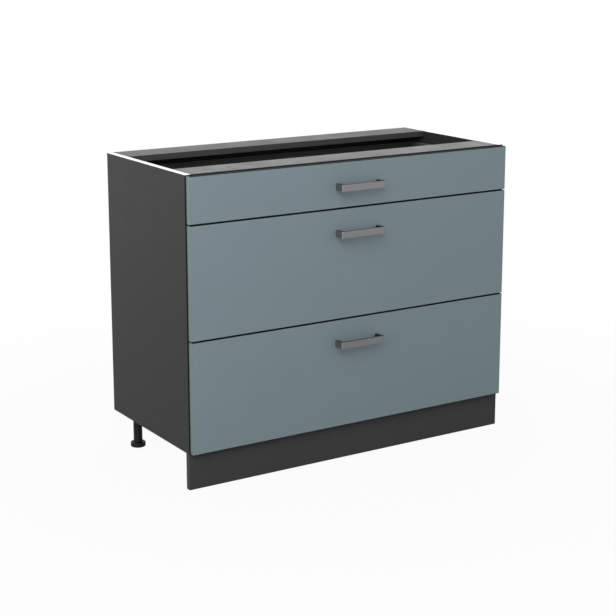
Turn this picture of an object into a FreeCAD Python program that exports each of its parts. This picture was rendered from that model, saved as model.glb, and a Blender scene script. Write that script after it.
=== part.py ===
"""Base cabinet with three drawers, 1000 mm wide, made as separate pieces.

Millimetres. +Z is up, the fronts face -Y and +X is to the right of someone who opens the drawers.
The origin is on the floor, in the middle of the width and of the depth from handle to back edge.
"""
import FreeCAD, Part
import os
import Sketcher

DRAWERS = ("upper", "centre", "lower")
SHALLOW_DRAWERS = ("upper",)
DEEP_DRAWERS = ("centre", "lower")
LEFT, RIGHT = -1, 1
# Small pins and holes are drawn with flats, which keeps the model light.
FASTENER_SIDES = 8
ROD_SIDES = 16
GRIP_SIDES = 24

# Every size that can be set by itself, in millimetres, written once.
SIZES = {
    "carcass": {
        "cabinet_width": 1000,
        "carcass_height": 720,
        "carcass_depth": 442,
        "leg_height": 96,
        "board": 16,
        "edge_band": 0.6,
        "traverse_depth": 96,
        "back_thickness": 3,
        "back_inset": 12,
        "groove_depth": 6,
        "groove_play": 0.3,
        "worktop_hole": 5,
        "worktop_hole_inset": 150,
    },
    "joints between boards": {
        "fit_play": 0.2,
        "dowel_diameter": 8,
        "dowel_in_end": 19,
        "dowel_in_side": 10,
        "dowel_inset": 32,
        "cam_diameter": 15,
        "cam_depth": 12.5,
        "cam_distance": 24,
        "cam_inset": 120,
        "bolt_shank": 6,
        "cam_slot_depth": 3,
        "cam_slot_width": 1.2,
        "bolt_thread": 5,
        "bolt_in_side": 11,
    },
    "fronts": {
        "front_board": 16,
        "front_gap": 2,
        "front_edge_radius": 1,
        "front_side_reveal": 3,
        "front_top_reveal": 3,
        "front_bottom_reveal": 2,
        "gap_between_fronts": 3,
        "upper_front_height": 120,
        "buffer_diameter": 8,
        "buffer_gap": 0.3,
        "buffer_inset": 14,
    },
    "handles": {
        "handle_hole_spacing": 128,
        "handle_projection": 32,
        "handle_height": 17.5,
        "handle_leg": 8,
        "handle_bar": 6,
        "handle_outer_radius": 5,
        "handle_inner_radius": 3,
        "handle_edge_cut": 0.6,
        "handle_drop": 63,
        "handle_screw": 4,
        "handle_screw_bite": 12,
        "handle_screw_head": 8,
        "handle_screw_head_height": 2.4,
    },
    "runners": {
        "rail_sheet": 1.2,
        "roller_track": 2.6,
        "roller_play": 0.3,
        "rail_pass": 0.8,
        "rail_side_play": 0.8,
        "channel_offset": 6,
        "channel_width": 24,
        "channel_lip": 4.8,
        "rail_flange": 32,
        "rail_end_clearance": 5,
        "rail_setback": 3,
        "rail_rise": 6,
        "rail_floor_gap": 2,
        "rail_screw": 4,
        "rail_screw_length": 12,
        "rail_screw_head": 9,
        "rail_screw_head_height": 1.6,
        "rail_screw_level": 24,
        "rail_screw_first": 34,
        "rail_screw_spacing": 224,
        "cage_length": 150,
        "cage_margin": 10,
        "cage_strip": 0.6,
        "cage_edge": 1.5,
        "roller_pitch": 90,
        "rollers_per_cage": 2,
    },
    "drawer boxes": {
        "drawer_back_clearance": 29,
        "side_offset": 4,
        "side_thickness": 13,
        "side_skin": 1,
        "side_height": 64,
        "side_top_radius": 3,
        "side_foot": 17,
        "base_board": 16,
        "base_play": 0.3,
        "back_board": 16,
        "deep_back_height": 168,
        "bracket_plate": 2,
        "bracket_arm": 40,
        "bracket_play": 1,
        "back_plate": 1.5,
        "back_plate_width": 33,
        "gallery_diameter": 10,
        "gallery_rise": 84,
        "gallery_socket": 18,
        "gallery_socket_depth": 8,
    },
    "legs and plinth": {
        "leg_side_inset": 42,
        "leg_front_inset": 45,
        "leg_back_inset": 60,
        "column_diameter": 25,
        "socket_width": 56,
        "socket_corner": 12,
        "socket_plate": 3,
        "collar_diameter": 34,
        "collar_bore": 25.8,
        "socket_collar": 17,
        "spigot_diameter": 10,
        "spigot_length": 11,
        "foot_diameter": 41,
        "foot_height": 13,
        "foot_stem": 12,
        "foot_stem_length": 64,
        "foot_play": 0.3,
        "foot_thread_play": 0.3,
        "plinth_board": 16,
        "plinth_top_gap": 0.4,
        "clip_level": 44,
        "clip_height": 16,
        "clip_wall": 5,
        "clip_grip": 7,
        "clip_play": 0.3,
        "clip_plate": 3,
        "clip_plate_width": 56,
        "clip_plate_height": 36,
    },
}

# Places and heights that follow from the sizes.
PLACES = {
    "half_width": "Sizes.cabinet_width / 2",
    "inner": "half_width - Sizes.board",
    "handle_front": "-(Sizes.handle_projection + Sizes.front_board + Sizes.front_gap + Sizes.carcass_depth) / 2",
    "front_face": "handle_front + Sizes.handle_projection",
    "front_back": "front_face + Sizes.front_board",
    "carcass_front": "front_back + Sizes.front_gap",
    "carcass_back": "carcass_front + Sizes.carcass_depth",
    "back_face": "carcass_back - Sizes.back_inset",
    "groove_front": "back_face - Sizes.back_thickness - Sizes.groove_play",
    "carcass_bottom": "Sizes.leg_height",
    "floor_top": "carcass_bottom + Sizes.board",
    "carcass_top": "carcass_bottom + Sizes.carcass_height",
    "traverse_bottom": "carcass_top - Sizes.board",
    "front_half_width": "half_width - Sizes.front_side_reveal",
    "deep_front_height": "(Sizes.carcass_height - Sizes.front_top_reveal - Sizes.front_bottom_reveal"
                         " - 2 * Sizes.gap_between_fronts - Sizes.upper_front_height) / 2",
    "front_bottom_lower": "carcass_bottom + Sizes.front_bottom_reveal",
    "front_top_lower": "front_bottom_lower + deep_front_height",
    "front_bottom_centre": "front_top_lower + Sizes.gap_between_fronts",
    "front_top_centre": "front_bottom_centre + deep_front_height",
    "front_bottom_upper": "front_top_centre + Sizes.gap_between_fronts",
    "front_top_upper": "front_bottom_upper + Sizes.upper_front_height",
    # Runner heights, counted from the underside of the cabinet rail.
    "middle_foot": "Sizes.rail_sheet + Sizes.roller_track",
    "cabinet_lip": "middle_foot + Sizes.rail_sheet + Sizes.roller_track",
    "cabinet_rail_top": "cabinet_lip + Sizes.rail_sheet",
    "drawer_rail_foot": "cabinet_rail_top + Sizes.rail_pass",
    "drawer_lip_top": "drawer_rail_foot + Sizes.rail_sheet",
    "middle_head": "drawer_lip_top + Sizes.roller_track",
    "drawer_web": "middle_head + Sizes.rail_sheet + Sizes.roller_track",
    "seat": "drawer_web + Sizes.rail_sheet",
    "roller_radius": "(Sizes.roller_track - Sizes.roller_play) / 2",
    # Heights of the drawer box, counted from the same underside.
    "base_bottom": "seat + Sizes.side_skin",
    "base_top": "base_bottom + Sizes.base_board",
    "side_top": "seat + Sizes.side_height",
    "gallery_level": "side_top + Sizes.gallery_rise",
    "back_top_shallow": "side_top",
    "back_top_deep": "seat + Sizes.deep_back_height",
    "rail_level_lower": "floor_top + Sizes.rail_floor_gap",
    "rail_level_centre": "front_bottom_centre + Sizes.rail_rise",
    "rail_level_upper": "front_bottom_upper + Sizes.rail_rise",
    # Distances inward from a side panel's inner face.
    "channel_far": "Sizes.channel_offset + Sizes.channel_width",
    "middle_near": "Sizes.channel_offset + Sizes.rail_sheet + Sizes.rail_side_play",
    "middle_far": "channel_far - Sizes.rail_sheet - Sizes.rail_side_play",
    "channel_centre": "(Sizes.channel_offset + channel_far) / 2",
    "side_far": "Sizes.side_offset + Sizes.side_thickness",
    "side_centre": "(Sizes.side_offset + side_far) / 2",
    "base_near": "side_far + Sizes.base_play",
    # Places along the depth.
    "rail_start": "carcass_front + Sizes.rail_setback",
    "drawer_end": "back_face - Sizes.back_thickness - Sizes.drawer_back_clearance",
    "drawer_length": "drawer_end - front_back",
    "rail_end": "drawer_end - Sizes.rail_end_clearance",
    "rail_length": "rail_end - rail_start",
    "leg_x": "half_width - Sizes.leg_side_inset",
    "leg_front_y": "carcass_front + Sizes.leg_front_inset",
    "leg_back_y": "carcass_back - Sizes.leg_back_inset",
    "column_bottom": "Sizes.foot_height + Sizes.foot_play",
    "column_top": "carcass_bottom - Sizes.socket_plate",
    "plinth_back": "carcass_front + Sizes.plinth_board",
}

doc = FreeCAD.newDocument("BaseCabinet")
nodes = {}


def make_sizes():
    """Write the driving sizes into the sheet, one row each, and the places that follow from them."""
    sheet = doc.addObject("Spreadsheet::Sheet", "Sizes")
    row = 1
    for group, sizes in SIZES.items():
        sheet.set(f"A{row}", group)
        row += 1
        for name, size in sizes.items():
            sheet.set(f"A{row}", name)
            sheet.set(f"B{row}", str(size))
            sheet.setAlias(f"B{row}", name)
            row += 1
    places = doc.addObject("App::VarSet", "Places")
    for name, expression in PLACES.items():
        places.addProperty("App::PropertyFloat", name, "Places")
        places.setExpression(name, expression)
    doc.recompute()
    return places


places = make_sizes()


def value(expression):
    """The present value of an expression, used as a starting point before a constraint binds it."""
    return float(places.evalExpression(str(expression)))


def origin_feature(body, role):
    return next(feature for feature in body.Origin.OriginFeatures if feature.Role == role)


def new_body(label):
    body = doc.addObject("PartDesign::Body", label)
    body.Label = label
    body.AllowCompound = True
    return body


def keep(node):
    """Register a finished sub-part under its label, which also names its file."""
    nodes[node.Label] = node
    return node


def new_sketch(body, name, plane, station):
    """A sketch on one of the body's own planes, moved along that plane's axis to the station."""
    sketch = body.newObject("Sketcher::SketchObject", name)
    sketch.AttachmentSupport = [(origin_feature(body, plane), "")]
    sketch.MapMode = "FlatFace"
    toward_normal = "-1" if plane == "XZ_Plane" else "1"
    sketch.setExpression(".AttachmentOffset.Base.z", f"{toward_normal} * ({station})")
    return sketch


def constrain(sketch, kind, places_of_constraint, expression):
    """Add one dimension and bind it to its expression."""
    constraint = Sketcher.Constraint(kind, *places_of_constraint, value(expression))
    index = sketch.addConstraint(constraint)
    sketch.setExpression(f".Constraints[{index}]", str(expression))


def draw_polygon(sketch, corners):
    first = sketch.GeometryCount
    count = len(corners)
    points = [FreeCAD.Vector(value(x), value(y), 0) for x, y in corners]
    for index in range(count):
        sketch.addGeometry(Part.LineSegment(points[index], points[(index + 1) % count]))
    for index in range(count):
        after = (index + 1) % count
        sketch.addConstraint(Sketcher.Constraint("Coincident", first + index, 2, first + after, 1))
    for index, (x, y) in enumerate(corners):
        constrain(sketch, "DistanceX", (-1, 1, first + index, 1), x)
        constrain(sketch, "DistanceY", (-1, 1, first + index, 1), y)


def draw_circle(sketch, x, y, diameter):
    centre = FreeCAD.Vector(value(x), value(y), 0)
    circle = sketch.addGeometry(Part.Circle(centre, FreeCAD.Vector(0, 0, 1), value(diameter) / 2))
    constrain(sketch, "DistanceX", (-1, 1, circle, 3), x)
    constrain(sketch, "DistanceY", (-1, 1, circle, 3), y)
    constrain(sketch, "Diameter", (circle,), diameter)


def rectangle(x_low, x_high, y_low, y_high):
    return [(x_low, y_low), (x_high, y_low), (x_high, y_high), (x_low, y_high)]


def draw(sketch, outlines):
    """Each outline is a list of corners, or a tuple of centre x, centre y and diameter."""
    for outline in outlines:
        if isinstance(outline, tuple):
            draw_circle(sketch, *outline)
        else:
            draw_polygon(sketch, outline)


def pad(body, name, plane, start, length, outlines):
    """Add the outlines as solids that run from the start along the plane's axis."""
    sketch = new_sketch(body, f"{name}_sketch", plane, start)
    draw(sketch, outlines)
    feature = body.newObject("PartDesign::Pad", name)
    feature.Profile = sketch
    feature.setExpression("Length", str(length))
    feature.Reversed = plane == "XZ_Plane"
    doc.recompute()
    return feature


def pocket(body, name, plane, start, length, outlines):
    """Cut the outlines away from the start along the plane's axis, and make sure that they cut."""
    before = body.Shape.Volume
    sketch = new_sketch(body, f"{name}_sketch", plane, start)
    draw(sketch, outlines)
    feature = body.newObject("PartDesign::Pocket", name)
    feature.Profile = sketch
    feature.setExpression("Length", str(length))
    feature.Reversed = plane != "XZ_Plane"
    doc.recompute()
    if body.Shape.Volume >= before:
        raise RuntimeError(f"{name} cuts nothing from {body.Label}")
    return feature


def small_round(kind, body, name, plane, start, length, spots, diameter, sides):
    """Add a prism at each spot of the plane, from the start along the plane's axis."""
    station = f"-1 * ({start} + {length})" if plane == "XZ_Plane" else str(start)
    for number, (x, y) in enumerate(spots, 1):
        feature = body.newObject(kind, f"{name}_{number}")
        feature.Polygon = sides
        feature.AttachmentSupport = [(origin_feature(body, plane), "")]
        feature.MapMode = "FlatFace"
        feature.setExpression(".AttachmentOffset.Base.x", str(x))
        feature.setExpression(".AttachmentOffset.Base.y", str(y))
        feature.setExpression(".AttachmentOffset.Base.z", station)
        feature.setExpression("Circumradius", f"({diameter}) / 2")
        feature.setExpression("Height", str(length))
    doc.recompute()
    return feature


def pin(body, name, plane, start, length, spots, diameter, sides=FASTENER_SIDES):
    """Add a pin at each spot."""
    return small_round("PartDesign::AdditivePrism", body, name, plane, start, length, spots, diameter, sides)


def bore(body, name, plane, start, length, spots, diameter, sides=FASTENER_SIDES):
    """Cut a hole at each spot, and make sure that it cuts."""
    before = body.Shape.Volume
    feature = small_round("PartDesign::SubtractivePrism", body, name, plane, start, length, spots,
                          diameter, sides)
    if body.Shape.Volume >= before:
        raise RuntimeError(f"{name} cuts nothing from {body.Label}")
    return feature


def bored(label, board, holes):
    """The board with round holes cut in one step. A hole is its axis, start x, y, z, depth and diameter."""
    tools = []
    for number, (axis, x, y, z, depth, diameter) in enumerate(holes, 1):
        tool = doc.addObject("Part::Prism", f"{label}_hole_{number}")
        tool.Polygon = FASTENER_SIDES
        turn = 90 if axis == "X" else 0
        tool.Placement = FreeCAD.Placement(FreeCAD.Vector(), FreeCAD.Rotation(FreeCAD.Vector(0, 1, 0), turn))
        place(tool, x, y, z)
        tool.setExpression("Circumradius", f"({diameter}) / 2")
        tool.setExpression("Height", str(depth))
        tools.append(tool)
    bundle = doc.addObject("Part::Compound", f"{label}_holes")
    bundle.Links = tools
    result = doc.addObject("Part::Cut", label)
    result.Label = label
    result.Base = board
    result.Tool = bundle
    doc.recompute()
    if result.Shape.Volume >= board.Shape.Volume:
        raise RuntimeError(f"the holes of {label} cut nothing")
    return result


def soften(body, name, kind, size, wanted):
    """Round or chamfer the edges of the body's present shape that the test wanted(edge) picks."""
    base = body.Tip
    picked = [f"Edge{i}" for i, edge in enumerate(base.Shape.Edges, 1) if wanted(edge)]
    if not picked:
        raise RuntimeError(f"{name} finds no edge on {body.Label}")
    feature = body.newObject(f"PartDesign::{kind}", name)
    feature.Base = (base, picked)
    feature.setExpression("Radius" if kind == "Fillet" else "Size", str(size))
    doc.recompute()
    return feature


def fillet(body, name, radius, wanted):
    return soften(body, name, "Fillet", radius, wanted)


def chamfer(body, name, size, wanted):
    return soften(body, name, "Chamfer", size, wanted)


def mirror_to_other_side(body, name="other_side"):
    """Repeat the whole body on the other side of the cabinet's middle plane."""
    mirrored = body.newObject("PartDesign::Mirrored", name)
    mirrored.TransformMode = "Whole shape"
    mirrored.MirrorPlane = (origin_feature(body, "YZ_Plane"), [""])
    body.Tip = mirrored
    doc.recompute()
    return mirrored


def place(thing, x, y, z):
    for axis, expression in zip("xyz", (x, y, z)):
        thing.setExpression(f".Placement.Base.{axis}", str(expression))


def group_of(label, source, spots):
    """One node that holds a copy of the source at each spot: x, y, z and a turn about Z in degrees."""
    copies = []
    for number, (x, y, z, turn) in enumerate(spots, 1):
        copy = doc.addObject("App::Link", f"{label}_copy_{number}")
        copy.LinkedObject = source
        copy.Placement = FreeCAD.Placement(FreeCAD.Vector(), FreeCAD.Rotation(FreeCAD.Vector(0, 0, 1), turn))
        place(copy, x, y, z)
        copies.append(copy)
    group = doc.addObject("Part::Compound", label)
    group.Label = label
    group.Links = copies
    return keep(group)


def mirrored_copy(label, source):
    """A separate piece, the mirror image of the source in the cabinet's middle plane."""
    copy = doc.addObject("Part::Mirroring", label)
    copy.Label = label
    copy.Source = source
    copy.Normal = FreeCAD.Vector(1, 0, 0)
    doc.recompute()
    return copy


def at_levels(label, source, names=DRAWERS):
    """One node for each drawer: the source, drawn on the rail's level, lifted to that drawer's rails."""
    for name in names:
        group_of(f"{label}_{name}", source, [(0, 0, f"Places.rail_level_{name}", 0)])


def across(side, distance):
    """X of a point at a distance inward from the inner face of the side panel on that side."""
    return f"{side} * (Places.inner - ({distance}))"


def lies_along(edge, axis):
    """True for a straight edge that runs along X, Y or Z."""
    box = edge.BoundBox
    spans = {"X": box.XLength, "Y": box.YLength, "Z": box.ZLength}
    longest = spans.pop(axis)
    return longest > 1e-6 and max(spans.values()) < 1e-6


def near(number, expression):
    return abs(number - value(expression)) < 1e-4


# ---- carcass

def board_joints():
    """Every row of fittings: x side, y of cam, y of dowel, underside of the board."""
    rows = []
    for side in (LEFT, RIGHT):
        front = "Places.carcass_front + "
        back = "Places.carcass_back - "
        half = "Sizes.traverse_depth / 2"
        shift = "Sizes.dowel_inset / 2"
        rows.append((side, f"{front}Sizes.cam_inset", f"{front}Sizes.dowel_inset", "Places.carcass_bottom"))
        rows.append((side, f"{back}Sizes.cam_inset", f"{back}Sizes.dowel_inset", "Places.carcass_bottom"))
        rows.append((side, f"{front}{half} + {shift}", f"{front}{half} - {shift}", "Places.traverse_bottom"))
        rows.append((side, f"{back}{half} - {shift}", f"{back}{half} + {shift}", "Places.traverse_bottom"))
    return rows


def middle_of_board(underside):
    return f"{underside} + Sizes.board / 2"


def cam_holes(underside, rows):
    """Blind holes from below, where the cam housings sit."""
    return [("Z", across(side, "Sizes.cam_distance"), cam_y, underside,
             "Sizes.cam_depth + Sizes.fit_play", "Sizes.cam_diameter + Sizes.fit_play")
            for side, cam_y, _, _ in rows]


def end_holes(underside, rows):
    """Bores for the bolts and the dowels in both ends of a board."""
    holes = []
    for side, cam_y, dowel_y, _ in rows:
        end = "Places.inner" if side == RIGHT else "-1 * Places.inner"
        for y, diameter, depth in (
                (cam_y, "Sizes.bolt_shank + Sizes.fit_play", "Sizes.cam_distance"),
                (dowel_y, "Sizes.dowel_diameter + Sizes.fit_play", "Sizes.dowel_in_end + Sizes.fit_play")):
            start = f"{end} - ({depth})" if side == RIGHT else end
            holes.append(("X", start, y, middle_of_board(underside), depth, diameter))
    return holes


def rows_at(underside):
    return [row for row in board_joints() if row[3] == underside]


def make_side_panels():
    """Upright boards with the back panel's groove, the fittings' holes and the runner screws' holes."""
    board = new_body("side_board")
    pad(board, "board", "YZ_Plane", "Places.inner", "Sizes.board",
        [rectangle("Places.carcass_front", "Places.carcass_back",
                   "Places.carcass_bottom", "Places.carcass_top - Sizes.edge_band")])
    pocket(board, "back_groove", "YZ_Plane", "Places.inner", "Sizes.groove_depth",
           [rectangle("Places.groove_front", "Places.back_face",
                      "Places.carcass_bottom", "Places.carcass_top - Sizes.edge_band")])
    mine = [row for row in board_joints() if row[0] == RIGHT]
    kinds = (
        ("Sizes.bolt_in_side", "Sizes.bolt_thread", [(cam_y, middle_of_board(under)) for _, cam_y, _, under in mine]),
        ("Sizes.dowel_in_side", "Sizes.dowel_diameter", [(y, middle_of_board(under)) for _, _, y, under in mine]),
        ("Sizes.rail_screw_length - Sizes.rail_sheet", "Sizes.rail_screw", rail_screw_spots()))
    panel = keep(bored("side_panel_right", board, [
        ("X", "Places.inner", y, z, f"{depth} + Sizes.fit_play", f"{diameter} + Sizes.fit_play")
        for depth, diameter, spots in kinds for y, z in spots]))
    keep(mirrored_copy("side_panel_left", panel))


def make_edge_bands():
    """White bands on the top edges of the two side panels."""
    body = new_body("edge_bands")
    pad(body, "band", "XY_Plane", "Places.carcass_top - Sizes.edge_band", "Sizes.edge_band",
        [rectangle("Places.inner", "Places.half_width", "Places.carcass_front", "Places.carcass_back")])
    mirror_to_other_side(body)
    return keep(body)


def make_bottom_panel():
    board = new_body("bottom_board")
    pad(board, "board", "XY_Plane", "Places.carcass_bottom", "Sizes.board",
        [rectangle("-1 * Places.inner", "Places.inner", "Places.carcass_front", "Places.carcass_back")])
    pocket(board, "back_groove", "XY_Plane", "Places.floor_top - Sizes.groove_depth", "Sizes.groove_depth",
           [rectangle("-1 * Places.inner", "Places.inner", "Places.groove_front", "Places.back_face")])
    rows = rows_at("Places.carcass_bottom")
    spigot_holes = [("Z", x, y, "Places.carcass_bottom", "Sizes.spigot_length + Sizes.fit_play",
                     "Sizes.spigot_diameter + Sizes.fit_play") for x, y in leg_spots()]
    board = bored("bottom_with_cam_holes", board, spigot_holes + cam_holes("Places.carcass_bottom", rows))
    keep(bored("bottom_panel", board, end_holes("Places.carcass_bottom", rows)))


def make_back_panel():
    """Thin board held in grooves on all four of its edges."""
    body = new_body("back_panel")
    reach = "Places.inner + Sizes.groove_depth - Sizes.groove_play"
    pad(body, "board", "XZ_Plane", "Places.back_face - Sizes.back_thickness", "Sizes.back_thickness",
        [rectangle(f"-1 * ({reach})", reach,
                   "Places.floor_top - Sizes.groove_depth + Sizes.groove_play",
                   "Places.traverse_bottom + Sizes.groove_depth - Sizes.groove_play")])
    return keep(body)


def make_traverse(label, low_y, high_y, grooved):
    """Flat board between the side panels at the top, with two holes for the worktop's screws."""
    board = new_body(f"{label}_board")
    pad(board, "board", "XY_Plane", "Places.traverse_bottom", "Sizes.board",
        [rectangle("-1 * Places.inner", "Places.inner", low_y, high_y)])
    hole_x = "Places.half_width - Sizes.worktop_hole_inset"
    middle = f"({low_y} + {high_y}) / 2"
    pocket(board, "worktop_holes", "XY_Plane", "Places.traverse_bottom", "Sizes.board",
           [(f"{side} * ({hole_x})", middle, "Sizes.worktop_hole") for side in (LEFT, RIGHT)])
    if grooved:
        pocket(board, "back_groove", "XY_Plane", "Places.traverse_bottom", "Sizes.groove_depth",
               [rectangle("-1 * Places.inner", "Places.inner", "Places.groove_front", "Places.back_face")])
    rows = [row for row in rows_at("Places.traverse_bottom") if ("carcass_back" in row[1]) == grooved]
    board = bored(f"{label}_with_cam_holes", board, cam_holes("Places.traverse_bottom", rows))
    keep(bored(label, board, end_holes("Places.traverse_bottom", rows)))


def make_traverses():
    front, back, depth = "Places.carcass_front", "Places.carcass_back", "Sizes.traverse_depth"
    make_traverse("front_traverse", front, f"{front} + {depth}", grooved=False)
    make_traverse("rear_traverse", f"{back} - {depth}", back, grooved=True)


def make_board_fittings():
    """Cam housings in the boards, the bolts that they draw in, and plain dowels beside them."""
    housing = new_body("cam_housing")
    pin(housing, "disc", "XY_Plane", 0, "Sizes.cam_depth", [(0, 0)], "Sizes.cam_diameter")
    mouth = "(Sizes.bolt_shank + Sizes.fit_play) / 2"
    pocket(housing, "mouth", "XY_Plane", f"Sizes.board / 2 - {mouth}",
           f"Sizes.cam_depth - (Sizes.board / 2 - {mouth})",
           [rectangle(f"-1 * {mouth}", "Sizes.cam_diameter", f"-1 * {mouth}", mouth)])
    pocket(housing, "driver_slot", "XY_Plane", 0, "Sizes.cam_slot_depth",
           [rectangle("-1 * Sizes.cam_diameter / 3", "Sizes.cam_diameter / 3",
                      "-1 * Sizes.cam_slot_width / 2", "Sizes.cam_slot_width / 2")])
    group_of("cam_housings", housing,
             [(across(side, "Sizes.cam_distance"), cam_y, under, 0 if side == RIGHT else 180)
              for side, cam_y, _, under in board_joints()])

    bolt = new_body("cam_bolt")
    pin(bolt, "thread", "YZ_Plane", 0, "Sizes.bolt_in_side", [(0, 0)], "Sizes.bolt_thread")
    pin(bolt, "shank", "YZ_Plane", "-1 * Sizes.cam_distance", "Sizes.cam_distance", [(0, 0)],
        "Sizes.bolt_shank")
    group_of("cam_bolts", bolt,
             [(across(side, 0), cam_y, middle_of_board(under), 0 if side == RIGHT else 180)
              for side, cam_y, _, under in board_joints()])

    dowel = new_body("dowel")
    pin(dowel, "rod", "YZ_Plane", "-1 * Sizes.dowel_in_end", "Sizes.dowel_in_end + Sizes.dowel_in_side",
        [(0, 0)], "Sizes.dowel_diameter")
    group_of("dowels", dowel,
             [(across(side, 0), dowel_y, middle_of_board(under), 0 if side == RIGHT else 180)
              for side, _, dowel_y, under in board_joints()])


# ---- legs and plinth

def leg_spots():
    return [(f"{side} * Places.leg_x", y) for y in ("Places.leg_front_y", "Places.leg_back_y")
            for side in (LEFT, RIGHT)]


def make_legs():
    """Sockets pressed into the bottom panel, columns in the sockets, and feet that screw into them."""
    socket = new_body("leg_socket")
    half = "Sizes.socket_width / 2"
    cut = "Sizes.socket_corner"
    plate = [(f"{half} - {cut}", half), (half, f"{half} - {cut}"),
             (half, f"{cut} - {half}"), (f"{half} - {cut}", f"-1 * {half}"),
             (f"{cut} - {half}", f"-1 * {half}"), (f"-1 * {half}", f"{cut} - {half}"),
             (f"-1 * {half}", f"{half} - {cut}"), (f"{cut} - {half}", half)]
    pad(socket, "plate", "XY_Plane", "Places.column_top", "Sizes.socket_plate", [plate])
    collar = "Places.column_top - Sizes.socket_collar"
    pin(socket, "collar", "XY_Plane", collar, "Sizes.socket_collar", [(0, 0)],
        "Sizes.collar_diameter", ROD_SIDES)
    bore(socket, "bore", "XY_Plane", collar, "Sizes.socket_collar", [(0, 0)],
         "Sizes.collar_bore", ROD_SIDES)
    pin(socket, "spigot", "XY_Plane", "Places.carcass_bottom", "Sizes.spigot_length", [(0, 0)],
        "Sizes.spigot_diameter")
    group_of("leg_sockets", socket, [(x, y, 0, 0) for x, y in leg_spots()])

    column = new_body("leg_column")
    pad(column, "tube", "XY_Plane", "Places.column_bottom", "Places.column_top - Places.column_bottom",
        [(0, 0, "Sizes.column_diameter")])
    bore(column, "thread", "XY_Plane", "Places.column_bottom", "Sizes.foot_stem_length", [(0, 0)],
         "Sizes.foot_stem + 2 * Sizes.foot_thread_play")
    group_of("leg_columns", column, [(x, y, 0, 0) for x, y in leg_spots()])

    corner_names = ("front_left", "front_right", "back_left", "back_right")
    for corner, (x, y) in zip(corner_names, leg_spots()):
        foot = new_body(f"foot_{corner}")
        pin(foot, "pad", "XY_Plane", 0, "Sizes.foot_height", [(0, 0)], "Sizes.foot_diameter", GRIP_SIDES)
        pin(foot, "stem", "XY_Plane", "Sizes.foot_height", "Sizes.foot_stem_length", [(0, 0)],
            "Sizes.foot_stem")
        place(foot, x, y, 0)
        keep(foot)


def make_plinth():
    """Board flush with the carcass front, and the forked clips that hold it on the front legs."""
    board = new_body("plinth_board")
    pad(board, "board", "XY_Plane", 0, "Places.carcass_bottom - Sizes.plinth_top_gap",
        [rectangle("-1 * Places.half_width", "Places.half_width",
                   "Places.carcass_front", "Places.plinth_back")])
    keep(board)

    clips = new_body("plinth_clips")
    fork = "Sizes.column_diameter / 2 + Sizes.clip_play"
    arm = f"({fork} + Sizes.clip_wall)"
    tip = "Places.leg_front_y + Sizes.clip_grip"
    pad(clips, "fork", "XY_Plane", "Sizes.clip_level", "Sizes.clip_height",
        [rectangle(f"Places.leg_x - {arm}", f"Places.leg_x + {arm}",
                   "Places.plinth_back + Sizes.clip_plate", tip)])
    pocket(clips, "saddle", "XY_Plane", "Sizes.clip_level", "Sizes.clip_height",
           [("Places.leg_x", "Places.leg_front_y", f"2 * ({fork})")])
    pocket(clips, "mouth", "XY_Plane", "Sizes.clip_level", "Sizes.clip_height",
           [rectangle(f"Places.leg_x - ({fork})", f"Places.leg_x + ({fork})", "Places.leg_front_y", tip)])
    middle = "Sizes.clip_level + Sizes.clip_height / 2"
    pad(clips, "plate", "XZ_Plane", "Places.plinth_back", "Sizes.clip_plate",
        [rectangle("Places.leg_x - Sizes.clip_plate_width / 2", "Places.leg_x + Sizes.clip_plate_width / 2",
                   f"{middle} - Sizes.clip_plate_height / 2", f"{middle} + Sizes.clip_plate_height / 2")])
    mirror_to_other_side(clips)
    keep(clips)


# ---- runners

def rail_screw_stations():
    """Y of the two screws that hold each cabinet rail."""
    first = "Places.rail_start + Sizes.rail_screw_first"
    return [first, f"{first} + Sizes.rail_screw_spacing"]


def rail_screw_spots():
    """Y and Z of the rail screws on either side panel."""
    return [(y, f"Places.rail_level_{name} + Sizes.rail_screw_level")
            for name in DRAWERS for y in rail_screw_stations()]


def rail_profile(corners):
    """Turn distance inward and height above the rail's underside into sketch coordinates."""
    return [(across(RIGHT, distance), height) for distance, height in corners]


def make_cabinet_rails():
    """Rolled channel with inward lips, on a flange that is screwed to the side panel."""
    body = new_body("cabinet_rail_pair")
    near_side, far_side = "Sizes.channel_offset", "Places.channel_far"
    sheet = "Sizes.rail_sheet"
    lip, top = "Places.cabinet_lip", "Places.cabinet_rail_top"
    profile = rail_profile([
        (0, 0),
        (far_side, 0),
        (far_side, top),
        (f"{far_side} - {sheet} - Sizes.channel_lip", top),
        (f"{far_side} - {sheet} - Sizes.channel_lip", lip),
        (f"{far_side} - {sheet}", lip),
        (f"{far_side} - {sheet}", sheet),
        (f"{near_side} + {sheet}", sheet),
        (f"{near_side} + {sheet}", lip),
        (f"{near_side} + {sheet} + Sizes.channel_lip", lip),
        (f"{near_side} + {sheet} + Sizes.channel_lip", top),
        (near_side, top),
        (near_side, sheet),
        (sheet, sheet),
        (sheet, "Sizes.rail_flange"),
        (0, "Sizes.rail_flange")])
    pad(body, "profile", "XZ_Plane", "Places.rail_start", "Places.rail_length", [profile])
    bore(body, "screw_hole", "YZ_Plane", "Places.inner - Sizes.rail_sheet", "Sizes.rail_sheet",
         [(y, "Sizes.rail_screw_level") for y in rail_screw_stations()],
         "Sizes.rail_screw + Sizes.fit_play")
    mirror_to_other_side(body)
    at_levels("cabinet_rails", body)


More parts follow.
